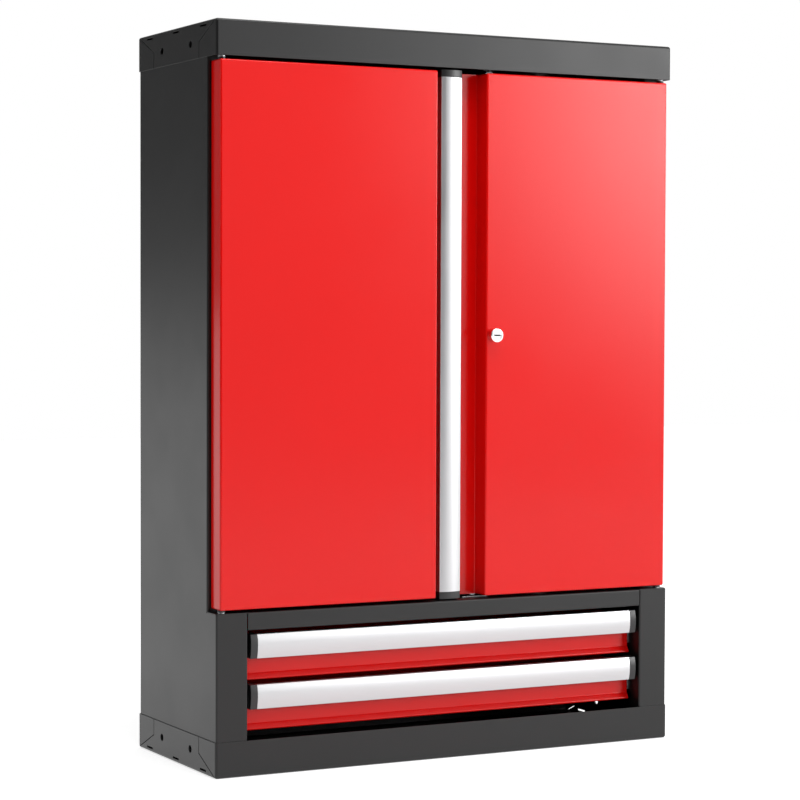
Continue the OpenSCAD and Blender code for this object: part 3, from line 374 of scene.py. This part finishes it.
# %% Every sheet and turned solid gets its edges
SOFT_EDGE = 0.22
OWN_EDGE = {"bottom_tray": 0.3, "top_cover": 0.3, "lock_barrel": 0.35, "lock_plug": 0.2,
            "door_grip_caps": 0.5, "upper_grip_caps": 0.5, "lower_grip_caps": 0.5}
RIVETS = ("back_rivets", "slide_rivets")
GRIPS = ("door_grip", "upper_drawer_grip", "lower_drawer_grip")
SCREWS = ("door_grip_screws", "upper_grip_screws", "lower_grip_screws")

count = 0
for node in body_of:
    if node in RIVETS + GRIPS + SCREWS:
        continue
    finish = "rolled_steel" if node.endswith(("_rail", "_runner")) else slot_of[node]
    mesh = soften(frame["nodes"][node].data, OWN_EDGE.get(node, SOFT_EDGE) * MM)
    weigh_normals(dress_node(node, mesh, finish))
    count += 1
print("softened", count, "nodes")

# %% [markdown]
# The key slot is cut deep into polished metal, and a perfect mirror would show the white ground inside
# it. Faces that lie behind the plug's front and near its axis get a painted shade, near black, that
# stands in for the shadow deep in the slot.

# %% Painted shade inside the key slot
SLOT_BEHIND, SLOT_REACH = 0.4, 5.2

plug = bpy.data.objects["lock_plug_finished"].data
plug_low, plug_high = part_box("lock_plug")
plug_axis = (plug_low + plug_high) / 2
# Each face inside the slot is marked for the painted shade.
painted_shade = plug.attributes.new("painted_shade", "FLOAT", "FACE")
for face in plug.polygons:
    off_axis = math.hypot(face.center.x - plug_axis.x, face.center.z - plug_axis.z)
    behind = face.center.y > plug_low.y + SLOT_BEHIND * MM
    painted_shade.data[face.index].value = float(behind and off_axis < SLOT_REACH * MM)
print("faces inside the key slot", sum(item.value > 0 for item in painted_shade.data))

# %% [markdown]
# ## The grips
#
# The three grips are lengths of one aluminium extrusion: one section, pushed through a die, cut
# where it is needed. That is a rule, so Geometry Nodes make it: the section is drawn once as a
# curve, filled, and extruded by a length given as a named input. The section is a C with a
# crowned front, a foot that is screwed down, and a finger edge. Each corner has its own small
# radius, which shrinks where the next corner is too near.

# %% The section of the extrusion
GRIP_W, GRIP_D, WALL, CROWN, FOOT, FINGER = 32.5, 23.5, 2.0, 50.0, 20.0, 8.0
TIP_R, LIP_R, CORNER_R, INNER_R, HEEL_R = 0.4, 0.6, 1.4, 0.8, 2.6
CROWN_STEPS = 24


def crown_at(u, inset=0.0):
    return GRIP_D - CROWN + math.sqrt((CROWN - inset) ** 2 - u * u)


def crown_line(start, stop, inset=0.0):
    places = (start + (stop - start) * i / CROWN_STEPS for i in range(CROWN_STEPS + 1))
    return [Vector((u, crown_at(u, inset))) for u in places]


def fillet(before, corner, after, radius, steps=5):
    a, b = (before - corner).normalized(), (after - corner).normalized()
    half = a.angle(b) / 2
    reach = radius / math.tan(half)
    middle = corner + (a + b).normalized() * radius / math.sin(half)
    start, stop = corner + a * reach - middle, corner + b * reach - middle
    return [middle + start.slerp(stop, i / steps) for i in range(steps + 1)]


def largest_fillet(before, corner, after, share=0.45):
    a, b = before - corner, after - corner
    return share * min(a.length, b.length) * math.tan(a.angle(b) / 2)


def grip_outline():
    half, inner = GRIP_W / 2, GRIP_W / 2 - WALL
    foot_end, finger = FOOT - half, GRIP_D - FINGER
    outer, under = crown_line(-half, half), crown_line(inner, -inner, WALL)
    raw = [(Vector((foot_end, 0)), TIP_R), (Vector((-half, 0)), HEEL_R), (outer[0], CORNER_R)]
    raw += [(point, 0) for point in outer[1:-1]]
    raw += [(outer[-1], CORNER_R), (Vector((half, finger)), LIP_R), (Vector((inner, finger)), LIP_R)]
    raw += [(under[0], TIP_R)] + [(point, 0) for point in under[1:-1]] + [(under[-1], LIP_R)]
    raw += [(Vector((-inner, WALL)), INNER_R), (Vector((foot_end, WALL)), TIP_R)]
    points = []
    for i, (corner, radius) in enumerate(raw):
        before, after = raw[i - 1][0], raw[(i + 1) % len(raw)][0]
        if radius:
            radius = min(radius, largest_fillet(before, corner, after))
            points += fillet(before, corner, after, radius)
        else:
            points.append(corner)
    return points


section = grip_outline()
print("section points", len(section))

# %% [markdown]
# Every tree below ends the same way: Realize Instances turns copies into real mesh, and Set
# Material gives them the finish that comes in as a named input.

# %% The start and the end of a geometry tree
def new_tree(name, inputs):
    tree = bpy.data.node_groups.new(name, "GeometryNodeTree")
    tree.interface.new_socket("Geometry", in_out="INPUT", socket_type="NodeSocketGeometry")
    for label, kind in inputs:
        tree.interface.new_socket(label, in_out="INPUT", socket_type=kind)
    tree.interface.new_socket("Geometry", in_out="OUTPUT", socket_type="NodeSocketGeometry")
    return tree, tree.nodes.new("NodeGroupInput").outputs, tree.nodes.new("NodeGroupOutput").inputs


def finish_tree(tree, given, result, geometry):
    realize = tree.nodes.new("GeometryNodeRealizeInstances")
    paint = tree.nodes.new("GeometryNodeSetMaterial")
    tree.links.new(geometry, realize.inputs["Geometry"])
    tree.links.new(realize.outputs["Geometry"], paint.inputs["Geometry"])
    tree.links.new(given["Finish"], paint.inputs["Material"])
    tree.links.new(paint.outputs["Geometry"], result["Geometry"])


# %% A tree that extrudes a section by a length
extrude_tree, given, result = new_tree(
    "extruded length", [("Length", FLOAT), ("Finish", "NodeSocketMaterial")])
fill = extrude_tree.nodes.new("GeometryNodeFillCurve")
fill.mode = "NGONS"
upward = extrude_tree.nodes.new("ShaderNodeCombineXYZ")
push = extrude_tree.nodes.new("GeometryNodeExtrudeMesh")
push.inputs["Individual"].default_value = False
turn = extrude_tree.nodes.new("GeometryNodeFlipFaces")
both = extrude_tree.nodes.new("GeometryNodeJoinGeometry")
weld = extrude_tree.nodes.new("GeometryNodeMergeByDistance")
weld.inputs["Distance"].default_value = SAME_PLACE
link = extrude_tree.links.new
link(given["Geometry"], fill.inputs["Curve"])
link(given["Length"], upward.inputs["Z"])
link(fill.outputs["Mesh"], push.inputs["Mesh"])
link(upward.outputs["Vector"], push.inputs["Offset"])
link(fill.outputs["Mesh"], turn.inputs["Mesh"])
link(push.outputs["Mesh"], both.inputs["Geometry"])
link(turn.outputs["Mesh"], both.inputs["Geometry"])
link(both.outputs["Geometry"], weld.inputs["Geometry"])
finish_tree(extrude_tree, given, result, weld.outputs["Geometry"])
print("extrusion tree has", len(extrude_tree.nodes), "nodes")

# %% [markdown]
# A modifier's inputs are set by the identifier of each socket, before the object is evaluated for
# the first time. The result is then taken out as a plain mesh, and the object that carried the
# tree is thrown away.

# %% Running a tree and keeping the mesh
def run_tree(tree, carrier, **inputs):
    bpy.context.scene.collection.objects.link(carrier)
    modifier = carrier.modifiers.new("tree", "NODES")
    modifier.node_group = tree
    items = tree.interface.items_tree
    sockets = {item.name: item.identifier for item in items if item.in_out == "INPUT"}
    for label, value in inputs.items():
        modifier[sockets[label]] = value
    bpy.context.view_layer.update()
    evaluated = carrier.evaluated_get(bpy.context.evaluated_depsgraph_get())
    mesh = bpy.data.meshes.new_from_object(evaluated)
    bpy.data.objects.remove(carrier, do_unlink=True)
    return mesh


def closed_curve(points):
    curve = bpy.data.curves.new("section", "CURVE")
    curve.dimensions = "2D"
    spline = curve.splines.new("POLY")
    spline.points.add(len(points) - 1)
    for target, point in zip(spline.points, points):
        target.co = (point.x * MM, point.y * MM, 0, 1)
    spline.use_cyclic_u = True
    return bpy.data.objects.new("section", curve)


def face_outwards(mesh):
    bm = bmesh.new()
    bm.from_mesh(mesh)
    bmesh.ops.recalc_face_normals(bm, faces=bm.faces)
    bm.to_mesh(mesh)
    bm.free()


# %% The door's grip stands up, the drawers' grips lie across
GRIP_SOFT, GRIP_SHARP = 0.3, math.radians(60)
UPRIGHT = Matrix(((1, 0, 0), (0, -1, 0), (0, 0, -1))).to_4x4()
ACROSS = Matrix(((0, 0, -1), (0, -1, 0), (-1, 0, 0))).to_4x4()


def make_grip(node, finish, turned):
    low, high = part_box(node)
    length = max(high - low)
    middle = (low + high) / 2
    mesh = run_tree(extrude_tree, closed_curve(section), Length=length, Finish=finishes[finish])
    mesh.transform(Matrix.Translation((0, 0, -length / 2)))
    mesh.transform(turned)
    mesh.transform(Matrix.Translation((middle.x, high.y, middle.z)))
    face_outwards(mesh)
    soft = soften(mesh, GRIP_SOFT * MM, sharp=GRIP_SHARP)
    weigh_normals(dress_node(node, soft, finish))
    print(node, "length", round(length / MM, 1), "mm, faces", len(soft.polygons))


make_grip("door_grip", "grip_aluminium", UPRIGHT)
make_grip("upper_drawer_grip", "grip_across", ACROSS)
make_grip("lower_drawer_grip", "grip_across", ACROSS)

# %% [markdown]
# ## Rivets and screws
#
# Small hardware is the same piece many times. One detailed piece is turned from a profile, and a
# tree sets a copy on every point of a mesh. The points come from the solids, so the hardware can
# never drift away from its holes.

# %% Turning a profile of radius and height into a solid
def turned_piece(profile, steps=20):
    bm = bmesh.new()
    angles = [2 * math.pi * i / steps for i in range(steps)]
    rings = []
    for radius, height in profile:
        around = [(radius * MM * math.cos(a), radius * MM * math.sin(a)) for a in angles]
        ring = around if radius else [(0, 0)]
        rings.append([bm.verts.new((x, y, height * MM)) for x, y in ring])
    for lower, upper in zip(rings, rings[1:]):
        for i in range(steps):
            j = (i + 1) % steps
            corners = [lower[i % len(lower)], lower[j % len(lower)],
                       upper[j % len(upper)], upper[i % len(upper)]]
            bm.faces.new(list(dict.fromkeys(corners)))
    bmesh.ops.recalc_face_normals(bm, faces=bm.faces)
    for face in bm.faces:
        face.smooth = True
    mesh = bpy.data.meshes.new("turned")
    bm.to_mesh(mesh)
    bm.free()
    return mesh


# %% The boxes of a node's separate solids, found by walking along its edges
def separate_solids(node):
    bm = bmesh.new()
    bm.from_mesh(frame["nodes"][node].data)
    bmesh.ops.remove_doubles(bm, verts=bm.verts, dist=SAME_PLACE)
    left, found = set(bm.verts), []
    while left:
        todo, group = [left.pop()], []
        while todo:
            vert = todo.pop()
            group.append(vert.co.copy())
            for edge in vert.link_edges:
                other = edge.other_vert(vert)
                if other in left:
                    left.remove(other)
                    todo.append(other)
        corners = [[pick(point[i] for point in group) for i in range(3)] for pick in (min, max)]
        found.append(tuple(Vector(corner) for corner in corners))
    bm.free()
    return sorted(found, key=lambda box: tuple(round(v, 5) for v in box[0]))


# %% A tree that sets a copy on every point
copies_tree, given, result = new_tree(
    "copies on points", [("Piece", "NodeSocketObject"), ("Finish", "NodeSocketMaterial")])
piece_info = copies_tree.nodes.new("GeometryNodeObjectInfo")
spread = copies_tree.nodes.new("GeometryNodeInstanceOnPoints")
link = copies_tree.links.new
link(given["Piece"], piece_info.inputs["Object"])
link(given["Geometry"], spread.inputs["Points"])
link(piece_info.outputs["Geometry"], spread.inputs["Instance"])
finish_tree(copies_tree, given, result, spread.outputs["Instances"])


def copies(points, piece_mesh, finish):
    carrier_mesh = bpy.data.meshes.new("points")
    carrier_mesh.from_pydata(points, [], [])
    carrier = bpy.data.objects.new("points", carrier_mesh)
    piece = bpy.data.objects.new("piece", piece_mesh)
    mesh = run_tree(copies_tree, carrier, Piece=piece, Finish=finishes[finish])
    bpy.data.objects.remove(piece, do_unlink=True)
    return mesh


def join_meshes(name, meshes):
    bm = bmesh.new()
    for mesh in meshes:
        bm.from_mesh(mesh)
    out = bpy.data.meshes.new(name)
    bm.to_mesh(out)
    bm.free()
    return out


# %% [markdown]
# A blind rivet has a domed head with the pit that its broken stem leaves. Where its far end shows,
# it is flattened to a second, rougher dome.

# %% Rivets
RIVET_R, HEAD_R, HEAD_H, RIVET_GRIP = 2.0, 4.0, 1.0, 2.4
PIT_R, PIT_H = 1.1, 0.55
TO_BACK = Matrix.Rotation(math.radians(-90), 4, "X")
TO_RIGHT = Matrix.Rotation(math.radians(90), 4, "Y")
TO_LEFT = Matrix.Rotation(math.radians(-90), 4, "Y")


def rivet_mesh(domed_back):
    end = -RIVET_GRIP
    profile = [(0, PIT_H), (PIT_R, PIT_H), (1.25, HEAD_H), (2.2, 0.93), (3.2, 0.66), (3.8, 0.3),
               (HEAD_R, 0.0), (RIVET_R, 0.0), (RIVET_R, end)]
    if domed_back:
        profile += [(3.6, end), (3.9, end - 0.3), (3.5, end - 0.8), (2.2, end - HEAD_H)]
        end -= HEAD_H
    return turned_piece(profile + [(0, end)])


def set_rivets(node, domed_back, groups):
    """Each group has a test for its solids, the turn of its heads, and where a head sits."""
    piece = rivet_mesh(domed_back)
    meshes = []
    for belongs, turn, head_place in groups:
        points = [head_place(low, high) for low, high in separate_solids(node) if belongs(low, high)]
        turned = piece.copy()
        turned.transform(turn)
        meshes.append(copies(points, turned, slot_of[node]))
        print(node, len(points), "rivets")
    dress_node(node, join_meshes(node, meshes))


def seat(low, high, x=None, y=None):
    middle = (low + high) / 2
    return Vector((middle.x if x is None else x, middle.y if y is None else y, middle.z))


head = HEAD_H * MM
set_rivets("back_rivets", True, [
    (lambda low, high: True, TO_BACK, lambda low, high: seat(low, high, y=high.y - head))])
set_rivets("slide_rivets", False, [
    (lambda low, high: low.x > 0, TO_RIGHT, lambda low, high: seat(low, high, x=high.x - head)),
    (lambda low, high: high.x < 0, TO_LEFT, lambda low, high: seat(low, high, x=low.x + head))])

# %% [markdown]
# The grips are held by pan head screws with a cross recess, seen inside the drawers and behind
# the door. Two tapered blades cut the cross.

# %% Screws
SCREW_R, PAN_R, PAN_H, POINT = 2.0, 3.8, 2.0, 0.4
CROSS_L, CROSS_W, CROSS_FLOOR, CROSS_DEEP, CROSS_TAPER = 3.8, 0.75, 1.0, 1.4, 0.45


def blade_object(angle):
    bm = bmesh.new()
    bmesh.ops.create_cube(bm, size=1.0)
    for vert in bm.verts:
        length = CROSS_L * (CROSS_TAPER if vert.co.z < 0 else 1.0)
        height = CROSS_FLOOR + (vert.co.z + 0.5) * CROSS_DEEP
        vert.co = Vector((vert.co.x * length, vert.co.y * CROSS_W, height)) * MM
    turn = Matrix.Rotation(math.radians(angle), 3, "Z")
    bmesh.ops.rotate(bm, verts=bm.verts, cent=(0, 0, 0), matrix=turn)
    mesh = bpy.data.meshes.new("blade")
    bm.to_mesh(mesh)
    bm.free()
    return bpy.data.objects.new("blade", mesh)


def screw_mesh(shank):
    profile = [(0, PAN_H), (2.2, PAN_H), (3.1, 1.75), (3.65, 1.1), (PAN_R, 0.35), (3.7, 0.0),
               (SCREW_R, 0.0), (SCREW_R, POINT - shank), (SCREW_R - POINT, -shank), (0, -shank)]
    body = bpy.data.objects.new("screw", turned_piece(profile, steps=24))
    blades = [blade_object(angle) for angle in (0, 90)]
    for item in [body] + blades:
        bpy.context.scene.collection.objects.link(item)
    for blade in blades:
        cut = body.modifiers.new("cross", "BOOLEAN")
        cut.operation, cut.object, cut.solver = "DIFFERENCE", blade, "EXACT"
    bpy.context.view_layer.update()
    evaluated = body.evaluated_get(bpy.context.evaluated_depsgraph_get())
    out = bpy.data.meshes.new_from_object(evaluated)
    for item in blades + [body]:
        bpy.data.objects.remove(item, do_unlink=True)
    return out


for node in SCREWS:
    solids = separate_solids(node)
    low, high = solids[0]
    shank = (high.y - low.y) / MM - PAN_H
    screw = screw_mesh(shank)
    screw.transform(TO_BACK)
    points = [seat(low, high, y=high.y - PAN_H * MM) for low, high in solids]
    dress_node(node, copies(points, screw, slot_of[node]))
    print(node, len(points), "screws, shank", round(shank, 2), "mm")

# %% [markdown]
# ## Balls in the drawer slides
#
# A telescopic slide runs on rows of small steel balls, kept apart by a thin cage. They show when
# a drawer is pulled out. The outer rows sit in the rear half of the middle rail and the inner
# rows in its front half, so both stay between their two members wherever the drawer stands. In
# height, a row lies midway between the inner face of one member and the outer face of the next.

# %% A ball and a cage
BALL_R, BALL_PITCH, ROW_BALLS = 1.3, 8.0, 12
CAGE_W, CAGE_T, CAGE_SOFT = 4.6, 0.6, 0.12
ROW_FROM_MIDDLE = 6.0
SLIDE_SHEET = 1.2


def ball_mesh():
    bm = bmesh.new()
    bmesh.ops.create_icosphere(bm, subdivisions=2, radius=BALL_R * MM)
    for face in bm.faces:
        face.smooth = True
    mesh = bpy.data.meshes.new("ball")
    bm.to_mesh(mesh)
    bm.free()
    return mesh


def cage_mesh(rows):
    bm = bmesh.new()
    length = BALL_PITCH * ROW_BALLS
    for x, first_y, z in rows:
        start = first_y - BALL_PITCH / 2
        for vert in bmesh.ops.create_cube(bm, size=1.0)["verts"]:
            along = start + (vert.co.y + 0.5) * length
            vert.co = Vector((x + vert.co.x * CAGE_W, along, z + vert.co.z * CAGE_T)) * MM
    mesh = bpy.data.meshes.new("cage")
    bm.to_mesh(mesh)
    bm.free()
    return soften(mesh, CAGE_SOFT * MM)


# %% Rows between the fixed rail, the middle rail and the runner
def ball_rows(level, side):
    kinds = ("fixed_rail", "middle_rail", "runner")
    fixed, middle, inner = (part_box(f"{level}_{side}_{kind}") for kind in kinds)
    x = (middle[0].x + middle[1].x) / 2 / MM
    z = (fixed[0].z + fixed[1].z) / 2 / MM
    half = [(high.z - low.z) / 2 / MM for low, high in (fixed, middle, inner)]
    outer, near = ((half[i] - SLIDE_SHEET + half[i + 1]) / 2 for i in (0, 1))
    rear = ROW_FROM_MIDDLE
    front = -ROW_FROM_MIDDLE - BALL_PITCH * (ROW_BALLS - 1)
    return [(x, rear, z + s * outer) for s in (-1, 1)] + [(x, front, z + s * near) for s in (-1, 1)]


for level in ("upper", "lower"):
    rows = ball_rows(level, "left") + ball_rows(level, "right")
    steps = [i * BALL_PITCH for i in range(ROW_BALLS)]
    points = [Vector((x, first_y + step, z)) * MM for x, first_y, z in rows for step in steps]
    body = f"{level}_middle_rails"
    balls = copies(points, ball_mesh(), "lock_chrome")
    place_piece(f"{level}_slide_balls", balls, body, "lock_chrome", "lock_chrome")
    cages = place_piece(f"{level}_ball_cages", cage_mesh(rows), body, "plated_steel", "plated_steel")
    weigh_normals(cages)
    print(level, "slide balls", len(points), "cages", len(rows))

# %% [markdown]
# ## Floor, light and background
#
# The picture has a plain white ground. The floor and the world are white only where the camera, a
# reflection or a clear material looks at them; what they give to the object as light stays at a
# plain level.

# %% World
AMBIENT = 0.47
SEEN_BY = ("Is Camera Ray", "Is Glossy Ray", "Is Transmission Ray")


def seen_directly(tree):
    """Gives one where the camera, a reflection or a clear material looks, and nought elsewhere."""
    path = tree.nodes.new("ShaderNodeLightPath")
    total = path.outputs[SEEN_BY[0]]
    for name in SEEN_BY[1:]:
        add = tree.nodes.new("ShaderNodeMath")
        add.operation, add.use_clamp = "ADD", True
        tree.links.new(total, add.inputs[0])
        tree.links.new(path.outputs[name], add.inputs[1])
        total = add.outputs["Value"]
    return total


world = bpy.data.worlds.new("studio")
bpy.context.scene.world = world
world.use_nodes = True
tree = world.node_tree
tree.nodes.clear()
out = tree.nodes.new("ShaderNodeOutputWorld")
lit, seen = (tree.nodes.new("ShaderNodeBackground") for _ in range(2))
for background, strength in ((lit, AMBIENT), (seen, 1.0)):
    background.inputs["Color"].default_value = (1, 1, 1, 1)
    background.inputs["Strength"].default_value = strength
pick = tree.nodes.new("ShaderNodeMixShader")
tree.links.new(seen_directly(tree), pick.inputs["Fac"])
tree.links.new(lit.outputs["Background"], pick.inputs[1])
tree.links.new(seen.outputs["Background"], pick.inputs[2])
tree.links.new(pick.outputs["Shader"], out.inputs["Surface"])
print("ambient light", AMBIENT)

# %% [markdown]
# The floor keeps the object's shadow: it is a pale matt surface, and the glow that lifts it to
# white is added to that surface only for the rays that look straight at it. It lies a little
# below the cabinet's underside, so that the two surfaces don't fight.

# %% Floor
FLOOR_REACH, FLOOR_DROP = 8.0, 0.0005
FLOOR_COLOR, FLOOR_GLOW = (0.82, 0.82, 0.82, 1), 0.66


def backdrop(name, corners, faces, material):
    mesh = bpy.data.meshes.new(name)
    mesh.from_pydata(corners, [], faces)
    mesh.materials.append(material)
    made = bpy.data.objects.new(name, mesh)
    bpy.context.scene.collection.objects.link(made)
    return made


pale = bpy.data.materials.new("pale floor")
pale.use_nodes = True
tree = pale.node_tree
shader = tree.nodes["Principled BSDF"]
shader.inputs["Base Color"].default_value = FLOOR_COLOR
shader.inputs["Roughness"].default_value = 0.9
glow = tree.nodes.new("ShaderNodeEmission")
glow.inputs["Color"].default_value = (1, 1, 1, 1)
glow.inputs["Strength"].default_value = FLOOR_GLOW
add = tree.nodes.new("ShaderNodeAddShader")
pick = tree.nodes.new("ShaderNodeMixShader")
tree.links.new(seen_directly(tree), pick.inputs["Fac"])
tree.links.new(shader.outputs["BSDF"], add.inputs[0])
tree.links.new(glow.outputs["Emission"], add.inputs[1])
tree.links.new(shader.outputs["BSDF"], pick.inputs[1])
tree.links.new(add.outputs["Shader"], pick.inputs[2])
tree.links.new(pick.outputs["Shader"], tree.nodes["Material Output"].inputs["Surface"])

corners = [(x * FLOOR_REACH, y * FLOOR_REACH, -FLOOR_DROP)
           for x, y in ((-1, -1), (1, -1), (1, 1), (-1, 1))]
floor = backdrop("floor", corners, [(0, 1, 2, 3)], pale)
print("floor", 2 * FLOOR_REACH, "m wide")

# %% [markdown]
# A studio is dark outside the lit ground, and paint and metal show that: the bends that face the
# camera draw thin dark lines, the left of the front is darker than its right, and the side darkens
# upwards. A black curtain hangs behind the camera and folds round to its left, and a grey one
# hangs behind the left side, clear of the floor. They are seen only in reflections, so they take
# no light away and are in no picture.

# %% Curtains behind the camera and behind the left side
def cloth_finish(name, shade):
    material = bpy.data.materials.new(name)
    material.use_nodes = True
    shader = material.node_tree.nodes["Principled BSDF"]
    shader.inputs["Base Color"].default_value = (shade, shade, shade, 1)
    shader.inputs["Specular IOR Level"].default_value = 0.0
    return material


def curtain(name, path, low, high, shade):
    corners = [(x, y, z) for x, y in path for z in (low, high)]
    faces = [(i, i + 2, i + 3, i + 1) for i in range(0, len(corners) - 2, 2)]
    cloth = backdrop(name, corners, faces, cloth_finish(name, shade))
    cloth.visible_camera = cloth.visible_diffuse = cloth.visible_shadow = False
    cloth.visible_transmission = cloth.visible_volume_scatter = False
    print(name, "from", low, "to", high, "m")


CURTAIN_TOP = 4.5
curtain("black_curtain", [(-7.5, -0.5), (-7.0, -4.6), (0.9, -6.2)], 0, CURTAIN_TOP, 0.004)
curtain("grey_curtain", [(-6.0, 2.5), (0.5, 5.5)], 0.6, CURTAIN_TOP, 0.3)

# %% [markdown]
# One large softbox stands to the right of the front, which is why the right door is the brighter
# one. A softbox is brightest in its middle and fades towards its rim, so its reflection has no
# hard border. A weak lamp hangs above, and a very weak one lies low behind the left side.

# %% Lamps, each aimed at a point and faded towards its rim
def soft_lamp(name, place, target, size, power, rim):
    data = bpy.data.lights.new(name, "AREA")
    data.shape, data.size, data.energy = "SQUARE", size, power
    data.use_nodes = True
    tree = data.node_tree
    across = tree.nodes.new("ShaderNodeNewGeometry").outputs["Parametric"]
    from_middle = tree.nodes.new("ShaderNodeVectorMath")
    from_middle.operation = "DISTANCE"
    from_middle.inputs[1].default_value = (0.5, 0.5, 0.0)
    tree.links.new(across, from_middle.inputs[0])
    fall = tree.nodes.new("ShaderNodeMapRange")
    fall.interpolation_type = "SMOOTHSTEP"
    for label, value in (("From Min", 0.0), ("From Max", 0.5), ("To Min", 1.0), ("To Max", rim)):
        fall.inputs[label].default_value = value
    tree.links.new(from_middle.outputs["Value"], fall.inputs["Value"])
    tree.links.new(fall.outputs["Result"], tree.nodes["Emission"].inputs["Strength"])
    lamp = bpy.data.objects.new(name, data)
    lamp.location = place
    aim = Vector(target) - Vector(place)
    lamp.rotation_euler = aim.to_track_quat("-Z", "Y").to_euler()
    bpy.context.scene.collection.objects.link(lamp)
    print("lamp", name, size, "m,", power, "W")


soft_lamp("front right", (3.3, -3.6, 1.5), (0.1, 0, 0.5), size=3.1, power=410, rim=0.0)
soft_lamp("above", (0.1, -1.1, 3.2), (0, 0, 0.5), size=1.6, power=45, rim=1.0)
soft_lamp("low behind left", (-2.3, 3.1, 0.1), (-0.36, 0, 0.2), size=1.2, power=6, rim=0.0)

# %% [markdown]
# ## Last measurements
#
# The colours are shown with the plain Standard transform.

# %% The view transform
bpy.context.scene.view_settings.view_transform = "Standard"
bpy.context.view_layer.update()
